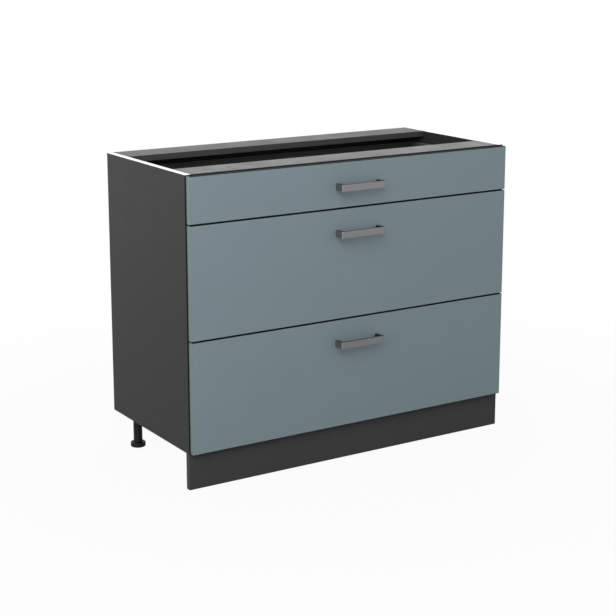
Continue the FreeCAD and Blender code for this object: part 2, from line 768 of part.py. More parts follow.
def make_middle_rails():
    """I-shaped rail whose two flanges run in the channels below and above it."""
    body = new_body("middle_rail_pair")
    near_side, far_side = "Places.middle_near", "Places.middle_far"
    web_near = "Places.channel_centre - Sizes.rail_sheet"
    web_far = "Places.channel_centre + Sizes.rail_sheet"
    foot, head = "Places.middle_foot", "Places.middle_head"
    foot_top, head_top = f"{foot} + Sizes.rail_sheet", f"{head} + Sizes.rail_sheet"
    profile = rail_profile([
        (near_side, foot), (far_side, foot), (far_side, foot_top), (web_far, foot_top),
        (web_far, head), (far_side, head), (far_side, head_top), (near_side, head_top),
        (near_side, head), (web_near, head), (web_near, foot_top), (near_side, foot_top)])
    pad(body, "profile", "XZ_Plane", "Places.rail_start", "Places.rail_length", [profile])
    mirror_to_other_side(body)
    at_levels("middle_rails", body)


def make_drawer_rails():
    """Upturned channel under the drawer side, with lips below the middle rail's head."""
    body = new_body("drawer_rail_pair")
    near_side, far_side = "Sizes.channel_offset", "Places.channel_far"
    sheet = "Sizes.rail_sheet"
    foot, lip_top = "Places.drawer_rail_foot", "Places.drawer_lip_top"
    web, seat = "Places.drawer_web", "Places.seat"
    near_lip = f"{near_side} + {sheet} + Sizes.channel_lip"
    far_lip = f"{far_side} - {sheet} - Sizes.channel_lip"
    profile = rail_profile([
        (near_side, foot), (near_lip, foot), (near_lip, lip_top), (f"{near_side} + {sheet}", lip_top),
        (f"{near_side} + {sheet}", web), (f"{far_side} - {sheet}", web), (f"{far_side} - {sheet}", lip_top),
        (far_lip, lip_top), (far_lip, foot), (far_side, foot), (far_side, seat), (near_side, seat)])
    pad(body, "profile", "XZ_Plane", "Places.rail_start", "Places.rail_length", [profile])
    mirror_to_other_side(body)
    at_levels("drawer_rails", body)


def make_roller_cages():
    """Nylon strips with rollers, one on the middle rail's head and one under its foot."""
    body = new_body("roller_cage_set")
    low_x = across(RIGHT, "Places.middle_far - Sizes.cage_edge")
    width = "Places.middle_far - Places.middle_near - 2 * Sizes.cage_edge"
    head_top = "Places.middle_head + Sizes.rail_sheet"
    foot = "Places.middle_foot"
    front_start = "Places.rail_start + Sizes.cage_margin"
    rear_start = "Places.rail_end - Sizes.cage_margin - Sizes.cage_length"
    strips = (
        ("upper", front_start, head_top, f"{head_top} + Sizes.cage_strip",
         f"{head_top} + Places.roller_radius"),
        ("lower", rear_start, f"{foot} - Sizes.cage_strip", foot,
         f"{foot} - Places.roller_radius"))
    roller = "2 * (Places.roller_radius - Sizes.roller_play / 2)"
    for word, start, low, high, axis_height in strips:
        pad(body, f"{word}_strip", "YZ_Plane", low_x, width,
            [rectangle(start, f"{start} + Sizes.cage_length", low, high)])
        first = f"{start} + (Sizes.cage_length - (Sizes.rollers_per_cage - 1) * Sizes.roller_pitch) / 2"
        first_roller = pin(body, f"{word}_roller", "YZ_Plane", low_x, width, [(first, axis_height)], roller)
        row = body.newObject("PartDesign::LinearPattern", f"{word}_rollers")
        row.Originals = [first_roller]
        row.Direction = (origin_feature(body, "Y_Axis"), [""])
        row.setExpression("Length", "(Sizes.rollers_per_cage - 1) * Sizes.roller_pitch")
        row.setExpression("Occurrences", "Sizes.rollers_per_cage")
        body.Tip = row
        doc.recompute()
    mirror_to_other_side(body)
    at_levels("roller_cages", body)


def make_rail_screws():
    """Flat-headed screws through the cabinet rails' flanges into the side panels."""
    screw = new_body("rail_screw")
    pin(screw, "shank", "YZ_Plane", "-1 * Sizes.rail_sheet", "Sizes.rail_screw_length", [(0, 0)],
        "Sizes.rail_screw")
    pin(screw, "head", "YZ_Plane", "-1 * (Sizes.rail_sheet + Sizes.rail_screw_head_height)",
        "Sizes.rail_screw_head_height", [(0, 0)], "Sizes.rail_screw_head")
    group_of("rail_screws", screw,
             [(across(side, 0), y, z, 0 if side == RIGHT else 180)
              for side in (LEFT, RIGHT) for y, z in rail_screw_spots()])


# ---- drawers

def make_front(kind, height, names):
    """Drawer front with two holes for the handle's screws and softly broken front edges."""
    body = new_body(f"front_board_{kind}")
    pad(body, "board", "XZ_Plane", "Places.front_face", "Sizes.front_board",
        [rectangle("-1 * Places.front_half_width", "Places.front_half_width", 0, height)])
    fillet(body, "broken_edges", "Sizes.front_edge_radius",
           lambda edge: near(edge.BoundBox.YMax, "Places.front_face"))
    bore(body, "handle_hole", "XZ_Plane", "Places.front_face", "Sizes.front_board",
         handle_screw_spots(f"{height} - Sizes.handle_drop"), "Sizes.handle_screw + Sizes.fit_play")
    for name in names:
        group_of(f"front_{name}", body, [(0, 0, f"Places.front_bottom_{name}", 0)])


def handle_height(name):
    return f"Places.front_top_{name} - Sizes.handle_drop"


def handle_screw_spots(height):
    return [(f"{side} * Sizes.handle_hole_spacing / 2", height) for side in (LEFT, RIGHT)]


def make_handles():
    """Flat bow handle: a bar on two feet, with rounded bends, tapped for two screws."""
    body = new_body("bow_handle")
    outer = "(Sizes.handle_hole_spacing + Sizes.handle_leg) / 2"
    inner = "(Sizes.handle_hole_spacing - Sizes.handle_leg) / 2"
    bar_back = "Places.handle_front + Sizes.handle_bar"
    pad(body, "bow", "XY_Plane", "-1 * Sizes.handle_height / 2", "Sizes.handle_height", [[
        (f"-1 * {outer}", "Places.front_face"), (f"-1 * {outer}", "Places.handle_front"),
        (outer, "Places.handle_front"), (outer, "Places.front_face"),
        (inner, "Places.front_face"), (inner, bar_back),
        (f"-1 * {inner}", bar_back), (f"-1 * {inner}", "Places.front_face")]])
    fillet(body, "outer_bends", "Sizes.handle_outer_radius",
           lambda edge: lies_along(edge, "Z") and near(edge.BoundBox.YMin, "Places.handle_front"))
    fillet(body, "inner_bends", "Sizes.handle_inner_radius",
           lambda edge: lies_along(edge, "Z") and near(edge.BoundBox.YMin, bar_back))
    chamfer(body, "bar_edges", "Sizes.handle_edge_cut",
            lambda edge: lies_along(edge, "X") and near(edge.BoundBox.YMin, "Places.handle_front"))
    bite = "(Sizes.handle_screw_bite + Sizes.fit_play)"
    bore(body, "tapped_hole", "XZ_Plane", f"Places.front_face - {bite}", bite,
         handle_screw_spots(0), "Sizes.handle_screw + Sizes.fit_play")
    for name in DRAWERS:
        group_of(f"handle_{name}", body, [(0, 0, handle_height(name), 0)])


def make_handle_screws():
    """Two screws for each handle, from inside the front."""
    screw = new_body("handle_screw")
    length = "Sizes.handle_screw_bite + Sizes.front_board"
    pin(screw, "shank", "XZ_Plane", f"-1 * ({length})", length, [(0, 0)], "Sizes.handle_screw")
    pin(screw, "head", "XZ_Plane", 0, "Sizes.handle_screw_head_height", [(0, 0)],
        "Sizes.handle_screw_head")
    for name in DRAWERS:
        group_of(f"handle_screws_{name}", screw,
                 [(x, "Places.front_back", z, 0) for x, z in handle_screw_spots(handle_height(name))])


def make_drawer_sides():
    """Double-walled steel side: a hollow wall, a skirt outside the rail and a foot under the base."""
    body = new_body("drawer_side_right")
    skin = "Sizes.side_skin"
    outer_wall, inner_wall = "Sizes.side_offset", "Places.side_far"
    foot_end = "Places.side_far + Sizes.side_foot"
    seat, foot_top, top = "Places.seat", "Places.base_bottom", "Places.side_top"
    wall = rail_profile([
        (outer_wall, "Places.drawer_rail_foot"), (f"{outer_wall} + {skin}", "Places.drawer_rail_foot"),
        (f"{outer_wall} + {skin}", seat), (foot_end, seat), (foot_end, foot_top),
        (inner_wall, foot_top), (inner_wall, top), (outer_wall, top)])
    hollow = rail_profile([
        (f"{outer_wall} + {skin}", foot_top), (f"{inner_wall} - {skin}", foot_top),
        (f"{inner_wall} - {skin}", f"{top} - {skin}"), (f"{outer_wall} + {skin}", f"{top} - {skin}")])
    start = "Places.front_back + Sizes.bracket_plate"
    pad(body, "profile", "XZ_Plane", start, "Places.drawer_length - Sizes.bracket_plate", [wall, hollow])
    fillet(body, "top_bends", "Sizes.side_top_radius",
           lambda edge: lies_along(edge, "Y") and near(edge.BoundBox.ZMin, top))
    fillet(body, "hollow_bends", f"Sizes.side_top_radius - {skin}",
           lambda edge: lies_along(edge, "Y") and near(edge.BoundBox.ZMin, f"{top} - {skin}"))
    other = mirrored_copy("drawer_side_left", body)
    for name in DRAWERS:
        for word, source in (("left", other), ("right", body)):
            group_of(f"drawer_side_{name}_{word}", source, [(0, 0, f"Places.rail_level_{name}", 0)])


def make_drawer_boards():
    """Base on the sides' feet, and back standing on the base between the sides."""
    reach = "(Places.inner - Places.base_near)"
    base = new_body("drawer_base")
    pad(base, "board", "XY_Plane", "Places.base_bottom", "Sizes.base_board",
        [rectangle(f"-1 * {reach}", reach, "Places.front_back", "Places.drawer_end")])
    at_levels("drawer_base", base)
    for kind, names in (("shallow", SHALLOW_DRAWERS), ("deep", DEEP_DRAWERS)):
        back = new_body(f"drawer_back_{kind}")
        pad(back, "board", "XY_Plane", "Places.base_top", f"Places.back_top_{kind} - Places.base_top",
            [rectangle(f"-1 * {reach}", reach, "Places.drawer_end - Sizes.back_board", "Places.drawer_end")])
        at_levels("drawer_back", back, names)


def make_side_fittings(kind, names):
    """Brackets between front and sides, plates between sides and back, and any gallery sockets."""
    body = new_body(f"side_fitting_set_{kind}")
    seat, top = "Places.seat", "Places.side_top"
    pad(body, "end_plate", "XZ_Plane", "Places.front_back", "Sizes.bracket_plate",
        [rectangle(across(RIGHT, "Places.side_far"), across(RIGHT, "Sizes.side_offset"), seat, top)])
    margin = "(Sizes.side_skin + Sizes.bracket_play)"
    pad(body, "arm", "XZ_Plane", "Places.front_back + Sizes.bracket_plate", "Sizes.bracket_arm",
        [rectangle(across(RIGHT, f"Places.side_far - {margin}"), across(RIGHT, f"Sizes.side_offset + {margin}"),
                   f"{seat} + 2 * {margin}", f"{top} - 2 * {margin}")])
    near_x = across(RIGHT, "Sizes.side_offset + Sizes.side_skin")
    far_x = across(RIGHT, "Sizes.side_offset + Sizes.side_skin + Sizes.back_plate_width")
    middle_x = across(RIGHT, "Places.side_far")
    bottom = f"{seat} + {margin}"
    plate = rectangle(far_x, near_x, bottom, f"{top} - {margin}")
    gallery = "Places.gallery_level"
    if kind == "deep":
        plate = [(near_x, bottom), (far_x, bottom), (far_x, f"{top} + Sizes.gallery_rise / 2"),
                 (middle_x, f"{gallery} + Sizes.gallery_diameter"),
                 (near_x, f"{gallery} + Sizes.gallery_diameter")]
        pin(body, "gallery_socket", "XZ_Plane", "Places.front_back", "Sizes.gallery_socket_depth",
            [(across(RIGHT, "Places.side_centre"), gallery)], "Sizes.gallery_socket", ROD_SIDES)
    pad(body, "back_plate", "XZ_Plane", "Places.drawer_end", "Sizes.back_plate", [plate])
    mirror_to_other_side(body)
    at_levels("side_fittings", body, names)


def make_gallery_rails():
    """Round rods above the sides of a deep drawer, from the front's socket to the back plate."""
    body = new_body("gallery_rail_pair")
    start = "Places.front_back + Sizes.gallery_socket_depth"
    pin(body, "rod", "XZ_Plane", start, f"Places.drawer_end - ({start})",
        [(across(RIGHT, "Places.side_centre"), "Places.gallery_level")], "Sizes.gallery_diameter", ROD_SIDES)
    mirror_to_other_side(body)
    at_levels("gallery_rails", body, DEEP_DRAWERS)


def make_front_buffers():
    """Small round pads on the side panels' front edges, where the fronts close."""
    buffer_pad = new_body("front_buffer")
    pin(buffer_pad, "disc", "XZ_Plane", "-1 * (Sizes.front_gap - Sizes.buffer_gap)",
        "Sizes.front_gap - Sizes.buffer_gap", [(0, 0)], "Sizes.buffer_diameter")
    group_of("front_buffers", buffer_pad,
             [(across(side, "-1 * Sizes.board / 2"), "Places.carcass_front",
               f"Places.front_top_{name} - Sizes.buffer_inset", 0)
              for side in (LEFT, RIGHT) for name in DRAWERS])


def write_steps():
    """Check every object and every sub-part's shape, then write one file for each sub-part."""
    doc.recompute()
    for thing in doc.Objects:
        if "Invalid" in thing.State or "Error" in thing.State:
            raise RuntimeError(f"{thing.Label} did not build: {thing.State}")
    for label, node in nodes.items():
        if node.Shape.isNull() or not node.Shape.isValid() or not node.Shape.Solids:
            raise RuntimeError(f"{label} has no valid solid")
    os.makedirs("parts", exist_ok=True)
    for label, node in nodes.items():
        node.Shape.exportStep(f"parts/{label}.step")
        print(f"{label}: {len(node.Shape.Solids)} solid(s), {node.Shape.Volume / 1000:.2f} cm3")
    print(len(nodes), "nodes")


make_side_panels()
make_edge_bands()
make_bottom_panel()
make_back_panel()
make_traverses()
make_board_fittings()
make_legs()
make_plinth()
make_cabinet_rails()
make_middle_rails()
make_drawer_rails()
make_roller_cages()
make_rail_screws()
make_front("shallow", "Sizes.upper_front_height", SHALLOW_DRAWERS)
make_front("deep", "Places.deep_front_height", DEEP_DRAWERS)
make_handles()
make_handle_screws()
make_drawer_sides()
make_drawer_boards()
make_side_fittings("shallow", SHALLOW_DRAWERS)
make_side_fittings("deep", DEEP_DRAWERS)
make_gallery_rails()
make_front_buffers()
write_steps()
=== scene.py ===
# %% [markdown]
# # A base cabinet with three drawers
# This is a kitchen base cabinet: dark graphite boards, three matt blue-grey drawer fronts, brushed bow
# handles, steel drawer sides on full-extension runners, black adjustable feet and a plinth board. The
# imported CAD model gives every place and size. The lesson dresses it, one piece and one finish at a time.

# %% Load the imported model
import math

import bmesh
import bpy
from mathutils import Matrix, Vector


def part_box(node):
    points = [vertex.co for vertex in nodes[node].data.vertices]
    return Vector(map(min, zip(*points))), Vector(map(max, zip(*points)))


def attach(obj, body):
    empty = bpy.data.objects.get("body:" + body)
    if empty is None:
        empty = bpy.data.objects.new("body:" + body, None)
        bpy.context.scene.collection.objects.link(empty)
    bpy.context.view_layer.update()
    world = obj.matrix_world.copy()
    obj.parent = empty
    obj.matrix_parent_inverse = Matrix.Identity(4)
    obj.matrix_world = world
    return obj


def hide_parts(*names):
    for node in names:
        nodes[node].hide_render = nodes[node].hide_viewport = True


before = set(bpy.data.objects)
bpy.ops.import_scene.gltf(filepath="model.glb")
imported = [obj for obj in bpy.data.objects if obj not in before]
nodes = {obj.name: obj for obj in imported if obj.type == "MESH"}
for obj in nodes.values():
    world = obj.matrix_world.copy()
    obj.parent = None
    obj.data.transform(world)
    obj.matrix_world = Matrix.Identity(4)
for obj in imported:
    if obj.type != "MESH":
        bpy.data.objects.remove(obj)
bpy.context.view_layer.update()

MM = 0.001
DRAWERS = ("upper", "centre", "lower")

# %% [markdown]
# ## The camera
# The photograph looks at the cabinet from the front left and a little above. Its verticals stand upright,
# which takes a shifted lens. A full shift would push the cabinet out of every other view, so the lens is
# shifted a little and the camera tilted for the rest. The place could be found by eye, but here it was
# solved from the corners of the fronts.

# %% Set up the camera
camera_data = bpy.data.cameras.new("photo_camera")
camera_data.sensor_width = 36
camera_data.lens = 89.1
camera_data.shift_y = -0.08
camera = bpy.data.objects.new("photo_camera", camera_data)
camera.location = (-2.219, -3.466, 1.410)
TILT, TURN = 12.31, 32.42
camera.rotation_euler = (math.radians(90 - TILT), 0, math.radians(-TURN))
bpy.context.scene.collection.objects.link(camera)
bpy.context.scene.camera = camera
print("camera at", camera.location[:], "lens", camera_data.lens, "mm")

# %% [markdown]
# ## Making a finish
# A finish is a colour, a gloss and a very fine relief. Every one here starts from the same shader. Its
# patterns come from noise in the piece's own coordinates, so they stay put when a drawer slides. Photos of
# real boards could be wrapped on instead, but noise has no edge, no repeat and any scale.

# %% A finish and its colours
def new_finish(name, colour, roughness, metallic=0.0, **more):
    """A material with one main shader. Extra sockets are given by name, with _ for a space."""
    material = bpy.data.materials.new(name)
    material.use_nodes = True
    shader = material.node_tree.nodes["Principled BSDF"]
    shader.inputs["Base Color"].default_value = (*colour, 1)
    shader.inputs["Roughness"].default_value = roughness
    shader.inputs["Metallic"].default_value = metallic
    for socket, amount in more.items():
        shader.inputs[socket.replace("_", " ")].default_value = amount
    return material


def noise(material, scale, detail=2.0, stretch=(1, 1, 1), cells=False):
    """A pattern from 0 to 1 with about so many features in a metre, stretched along the axes."""
    tree = material.node_tree
    coordinates = tree.nodes.new("ShaderNodeTexCoord")
    mapping = tree.nodes.new("ShaderNodeMapping")
    mapping.inputs["Scale"].default_value = stretch
    texture = tree.nodes.new("ShaderNodeTexVoronoi" if cells else "ShaderNodeTexNoise")
    texture.inputs["Scale"].default_value = scale
    if not cells:
        texture.inputs["Detail"].default_value = detail
    tree.links.new(coordinates.outputs["Object"], mapping.inputs["Vector"])
    tree.links.new(mapping.outputs["Vector"], texture.inputs["Vector"])
    return texture.outputs["Color" if cells else "Fac"]


def source_of(material, pattern):
    """A pattern that is already made, or one asked for by its scale and detail, such as (900, 3)."""
    return noise(material, *pattern) if isinstance(pattern, tuple) else pattern


def colour_between(material, pattern, dark, light, low=0.3, high=0.7):
    """Let the pattern choose between two colours."""
    tree = material.node_tree
    ramp = tree.nodes.new("ShaderNodeValToRGB")
    ramp.color_ramp.elements[0].position = low
    ramp.color_ramp.elements[0].color = (*dark, 1)
    ramp.color_ramp.elements[1].position = high
    ramp.color_ramp.elements[1].color = (*light, 1)
    tree.links.new(source_of(material, pattern), ramp.inputs["Fac"])
    tree.links.new(ramp.outputs["Color"], tree.nodes["Principled BSDF"].inputs["Base Color"])


def shades(colour, spread):
    """The colour made darker and lighter by a share."""
    return tuple(c * (1 - spread) for c in colour), tuple(c * (1 + spread) for c in colour)


print("a finish can be made and coloured")

# %% [markdown]
# ## Gloss, relief and wear
# Even a plain board is never equally glossy all over, and a press or a brush leaves a relief that a finger
# can feel. Both are far finer than any mesh could be, so the shader makes them. Hands and cloths rub a finish
# lighter where an edge turns. A normal that looks round the edge differs from the true one there, and that
# difference picks the places.

# %% Gloss, relief and worn edges
def remapped(tree, value, old_range, new_range):
    """A value moved from one range to another, and held inside it."""
    spread = tree.nodes.new("ShaderNodeMapRange")
    for socket, amount in zip(("From Min", "From Max", "To Min", "To Max"), (*old_range, *new_range)):
        spread.inputs[socket].default_value = amount
    tree.links.new(value, spread.inputs["Value"])
    return spread.outputs["Result"]


def gloss_between(material, pattern, low, high):
    """Let the pattern vary the roughness."""
    tree = material.node_tree
    gloss = remapped(tree, source_of(material, pattern), (0.3, 0.7), (low, high))
    tree.links.new(gloss, tree.nodes["Principled BSDF"].inputs["Roughness"])


def relief(material, pattern, height, strength=1.0):
    """Let the pattern raise the surface by a height in metres."""
    tree = material.node_tree
    shader = tree.nodes["Principled BSDF"]
    bump = tree.nodes.new("ShaderNodeBump")
    bump.inputs["Distance"].default_value = height
    bump.inputs["Strength"].default_value = strength
    if shader.inputs["Normal"].is_linked:
        tree.links.new(shader.inputs["Normal"].links[0].from_socket, bump.inputs["Normal"])
    tree.links.new(source_of(material, pattern), bump.inputs["Height"])
    tree.links.new(bump.outputs["Normal"], shader.inputs["Normal"])


def worn_edges(material, lighter, radius=0.7 * MM):
    """Rub the finish lighter where an edge turns: there a bevelled normal and the true one differ."""
    tree = material.node_tree
    base = tree.nodes["Principled BSDF"].inputs["Base Color"]
    turned = tree.nodes.new("ShaderNodeBevel")
    turned.samples = 3
    turned.inputs["Radius"].default_value = radius
    agreement = tree.nodes.new("ShaderNodeVectorMath")
    agreement.operation = "DOT_PRODUCT"
    tree.links.new(turned.outputs["Normal"], agreement.inputs[0])
    tree.links.new(tree.nodes.new("ShaderNodeNewGeometry").outputs["Normal"], agreement.inputs[1])
    edge = remapped(tree, agreement.outputs["Value"], (0.8, 0.98), (1, 0))
    rubbed = tree.nodes.new("ShaderNodeMix")
    rubbed.data_type = "RGBA"
    rubbed.inputs["B"].default_value = (*lighter, 1)
    tree.links.new(edge, rubbed.inputs["Factor"])
    tree.links.new(base.links[0].from_socket, rubbed.inputs["A"])
    tree.links.new(rubbed.outputs["Result"], base)


print("gloss, relief and wear can be added")

# %% [markdown]
# ## Graphite melamine
# The carcass and plinth boards are chipboard faced with printed resin paper, pressed against a fine
# texture. Seen close, it is a dark grey with faint lighter flecks and a pearl-like grain under half a
# millimetre across. Fine noises make the grain and a broad one makes slow changes of gloss. The top boards,
# the plinth and the bands each look a little different in the photograph, so each has its own grey. The
# bands on the carcass front edges, which lie in the gap behind the fronts, are near black: painted shade.

# %% Graphite board and its edge band
def melamine(name, colour, roughness):
    material = new_finish(name, colour, roughness, Specular_IOR_Level=0.12)
    colour_between(material, (900, 3), *shades(colour, 0.10))
    gloss_between(material, (14, 4), roughness - 0.03, roughness + 0.04)
    relief(material, (2600, 2), 0.015 * MM, 0.4)
    relief(material, (260, 2), 0.02 * MM, 0.3)
    worn_edges(material, [c * 1.5 for c in colour], 0.4 * MM)
    return material


GRAPHITE = (0.030, 0.030, 0.0295)
graphite_board = melamine("graphite_board", GRAPHITE, 0.30)
dull_graphite = melamine("dull_graphite", GRAPHITE, 0.37)
plinth_graphite = melamine("plinth_graphite", (0.051, 0.051, 0.0505), 0.34)
# Near-black band for the carcass front edges behind the fronts: painted shade for the gap.
painted_shade_band = melamine("painted_shade_band", (0.018, 0.018, 0.018), 0.40)
graphite_band = melamine("graphite_band", (0.058, 0.058, 0.057), 0.34)
drawer_board = melamine("drawer_board", (0.036, 0.037, 0.038), 0.36)
print("graphite finishes:", graphite_board.name, plinth_graphite.name, graphite_band.name, drawer_board.name)

# %% [markdown]
# ## The blue-grey fronts
# The fronts are the largest surfaces in the picture: a velvety matt laminate with almost no pattern. A
# flat colour would look like plastic film, so there is a trace of cloudiness, a fine matt grain and a
# little gloss variation. Their side bands are a touch greener and smoother than the faces. The top and
# bottom edges look almost black in the photograph, because they lie in the shade of the gaps, so those two
# bands get a near-black finish of their own: painted shade.

# %% Matt front laminate
FRONT_BLUE = (0.183, 0.242, 0.263)
front_face_finish = new_finish("front_face", FRONT_BLUE, 0.48, Specular_IOR_Level=0.45)
colour_between(front_face_finish, (9, 5), *shades(FRONT_BLUE, 0.012))
gloss_between(front_face_finish, (30, 4), 0.46, 0.51)
relief(front_face_finish, (3200, 2), 0.02 * MM, 0.5)
FRONT_EDGE = (0.155, 0.207, 0.196)
front_edge_finish = new_finish("front_edge", FRONT_EDGE, 0.30)
colour_between(front_edge_finish, (40, 3), *shades(FRONT_EDGE, 0.02))
relief(front_edge_finish, (500, 2), 0.015 * MM, 0.4)
# Near-black colour for the fronts' top and bottom bands: painted shade for the gaps between the fronts.
SHADOW_EDGE = (0.008, 0.010, 0.011)
front_shadow_edge = new_finish("front_shadow_edge", SHADOW_EDGE, 0.7, Specular_IOR_Level=0.1)
colour_between(front_shadow_edge, (60, 3), *shades(SHADOW_EDGE, 0.06))
relief(front_shadow_edge, (500, 2), 0.015 * MM, 0.4)
print("front finishes:", front_face_finish.name, front_edge_finish.name, front_shadow_edge.name)

# %% [markdown]
# ## Other board finishes
# The top edges of the side panels have a white band, because a worktop will hide them. Where a board's
# edge meets the wall it has no band at all, and the pressed chips show. The thin back is brown hardboard
# with graphite paper on the face that looks into the cabinet, so it needs two finishes.

# %% White band, raw chipboard and hardboard
white_band = new_finish("white_band", (0.86, 0.86, 0.845), 0.34)
gloss_between(white_band, (60, 3), 0.31, 0.40)
relief(white_band, (900, 2), 0.015 * MM, 0.4)

raw_chipboard = new_finish("raw_chipboard", (0.42, 0.31, 0.19), 0.85)
chips = noise(raw_chipboard, 320, 4, stretch=(1, 1, 2.6))
colour_between(raw_chipboard, chips, (0.22, 0.14, 0.075), (0.58, 0.46, 0.31), 0.35, 0.65)
relief(raw_chipboard, (700, 4), 0.25 * MM, 0.6)

hardboard = new_finish("hardboard", (0.19, 0.115, 0.06), 0.6)
colour_between(hardboard, (800, 5), (0.13, 0.075, 0.038), (0.25, 0.16, 0.09))
relief(hardboard, (1500, 3), 0.05 * MM, 0.6)

graphite_paper = melamine("graphite_paper", (0.042, 0.042, 0.043), 0.42)
print("board finishes:", white_band.name, raw_chipboard.name, hardboard.name, graphite_paper.name)

# %% [markdown]
# ## Brushed handle metal
# Brushed steel gets its look from thousands of fine scratches that all run one way. On a bent strip they
# follow the strip, along the bar and round into its feet, so the noise is stretched until it changes only
# across the strip's height. The handle's top, underside and inside look darker, so they are painted near black:
# painted shade.

# %% Brushed handle metal
HANDLE_GREY = (0.225, 0.219, 0.226)
brushed_handle = new_finish("brushed_handle", HANDLE_GREY, 0.34, 0.85)
scratches = noise(brushed_handle, 1, 4, stretch=(25, 25, 5200))
colour_between(brushed_handle, scratches, *shades(HANDLE_GREY, 0.10))
gloss_between(brushed_handle, scratches, 0.28, 0.40)
relief(brushed_handle, scratches, 0.02 * MM, 0.35)
worn_edges(brushed_handle, (0.34, 0.335, 0.34), 0.5 * MM)
# Near-black colour for the handle's top, underside and inside: painted shade on the same metal.
HANDLE_PAINTED_SHADE = (0.035, 0.035, 0.036)
handle_painted_shade = new_finish("handle_painted_shade", HANDLE_PAINTED_SHADE, 0.42, 0.9)
colour_between(handle_painted_shade, (500, 4), *shades(HANDLE_PAINTED_SHADE, 0.15))
relief(handle_painted_shade, (1500, 3), 0.02 * MM, 0.5)
print("handle finishes:", brushed_handle.name, handle_painted_shade.name)

# %% [markdown]
# ## Rails, screws, castings and powder coat
# Zinc-coated rails have a mottled bloom, which a pattern of cells gives better than cloudy noise. Screws are
# plated and shinier, and the cams are zinc castings with a grainy skin. The drawer sides are powder coated
# in dark grey: not bare metal at all, but a finely pebbled paint, so that finish has no metal in it.

# %% Galvanised rails, powder coat, screws and castings
rail_steel = new_finish("rail_steel", (0.60, 0.61, 0.62), 0.36, 1.0)
colour_between(rail_steel, noise(rail_steel, 130, 2, cells=True), (0.50, 0.51, 0.52), (0.68, 0.69, 0.70), 0.1, 0.9)
gloss_between(rail_steel, (90, 4, (1, 0.12, 1)), 0.30, 0.46)
relief(rail_steel, (700, 2, (1, 0.1, 1)), 0.02 * MM, 0.3)
worn_edges(rail_steel, (0.78, 0.78, 0.79), 0.3 * MM)

POWDER_GREY = (0.060, 0.061, 0.064)
powder_coat = new_finish("powder_coat", POWDER_GREY, 0.40, Coat_Weight=0.08, Coat_Roughness=0.3)
colour_between(powder_coat, (600, 3), *shades(POWDER_GREY, 0.08))
relief(powder_coat, (1100, 2), 0.035 * MM, 0.5)
worn_edges(powder_coat, (0.095, 0.096, 0.10), 0.5 * MM)

plated_steel = new_finish("plated_steel", (0.63, 0.63, 0.61), 0.27, 1.0)
colour_between(plated_steel, (400, 4), (0.52, 0.52, 0.50), (0.70, 0.70, 0.69))
gloss_between(plated_steel, (700, 3), 0.20, 0.36)

cast_zinc = new_finish("cast_zinc", (0.42, 0.42, 0.43), 0.5, 0.85)
colour_between(cast_zinc, (500, 5), (0.33, 0.33, 0.34), (0.50, 0.50, 0.51))
relief(cast_zinc, (1400, 3), 0.04 * MM, 0.6)
worn_edges(cast_zinc, (0.62, 0.62, 0.63), 0.3 * MM)
print("metals:", rail_steel.name, powder_coat.name, plated_steel.name, cast_zinc.name)

# %% [markdown]
# ## Plastics, rubber and dowel wood
# The legs are injection moulded in black with a spark-eroded grain. The runner cages are milky nylon, the
# pads behind the fronts a soft clear plastic, and the dowels plain beech with grain along their length.

# %% Moulded plastics and beech
moulded_black = new_finish("moulded_black", (0.006, 0.006, 0.006), 0.46, Specular_IOR_Level=0.25)
colour_between(moulded_black, (300, 3), (0.004, 0.004, 0.0045), (0.009, 0.009, 0.0095))
gloss_between(moulded_black, (60, 4), 0.40, 0.56)
relief(moulded_black, (1500, 3), 0.05 * MM, 0.5)
worn_edges(moulded_black, (0.02, 0.02, 0.021), 0.5 * MM)

milky_nylon = new_finish("milky_nylon", (0.72, 0.72, 0.67), 0.38, Subsurface_Weight=0.15, Subsurface_Scale=0.002)
colour_between(milky_nylon, (120, 2), (0.68, 0.68, 0.62), (0.77, 0.77, 0.72))

clear_pad = new_finish("clear_pad", (0.80, 0.82, 0.82), 0.22, Transmission_Weight=0.55, IOR=1.45)
relief(clear_pad, (900, 2), 0.03 * MM, 0.4)

beech_wood = new_finish("beech_wood", (0.60, 0.40, 0.23), 0.62)
colour_between(beech_wood, (90, 5, (0.08, 1, 1)), (0.48, 0.30, 0.16), (0.68, 0.48, 0.29))
relief(beech_wood, (900, 3, (0.08, 1, 1)), 0.08 * MM, 0.5)
print("plastics and wood:", moulded_black.name, milky_nylon.name, clear_pad.name, beech_wood.name)

# %% [markdown]
# ## Boxes with soft edges
# Sawn board, sheet and moulded plastic all have edges that are a little round, and the light along them is
# what makes a shape look real. Ready-made cubes would be quicker, but their edges are knife-sharp. So one
# helper places a box by its corners, and another rounds the edges that it is given.

# %% Boxes
def edges_of(faces):
    """Every edge of the faces, each once and always in the same order."""
    return list(dict.fromkeys(edge for face in faces for edge in face.edges))


def soften(bm, edges, softness, steps):
    """Round some edges of the mesh that is being built."""
    bmesh.ops.bevel(bm, geom=edges, offset=softness, segments=steps, profile=0.5,
                    affect="EDGES", clamp_overlap=True, material=-1)


def sharp_box(bm, low, high, material=0):
    """The faces of a new box between its lowest and highest corner."""
    corners = bmesh.ops.create_cube(bm, size=1)["verts"]
    for corner in corners:
        corner.co = Vector((low[i] + high[i]) / 2 + corner.co[i] * (high[i] - low[i]) for i in range(3))
    faces = list(dict.fromkeys(face for corner in corners for face in corner.link_faces))
    for face in faces:
        face.material_index = material
    return faces


def add_box(bm, low, high, softness, steps=2):
    """A closed box with softened edges."""
    soften(bm, edges_of(sharp_box(bm, low, high)), softness, steps)


print("boxes are ready")

# %% [markdown]
# ## Swept outlines
# Boards with grooves, clips, plates and bow handles keep one section all along a direction, as if drawn
# through a die. So each is an outline swept along an axis. Bent metal has round corners, and a helper first
# puts an arc of the true radius at each corner of the outline. A bevel could do that afterwards, but it
# would also round the corners that must stay square.

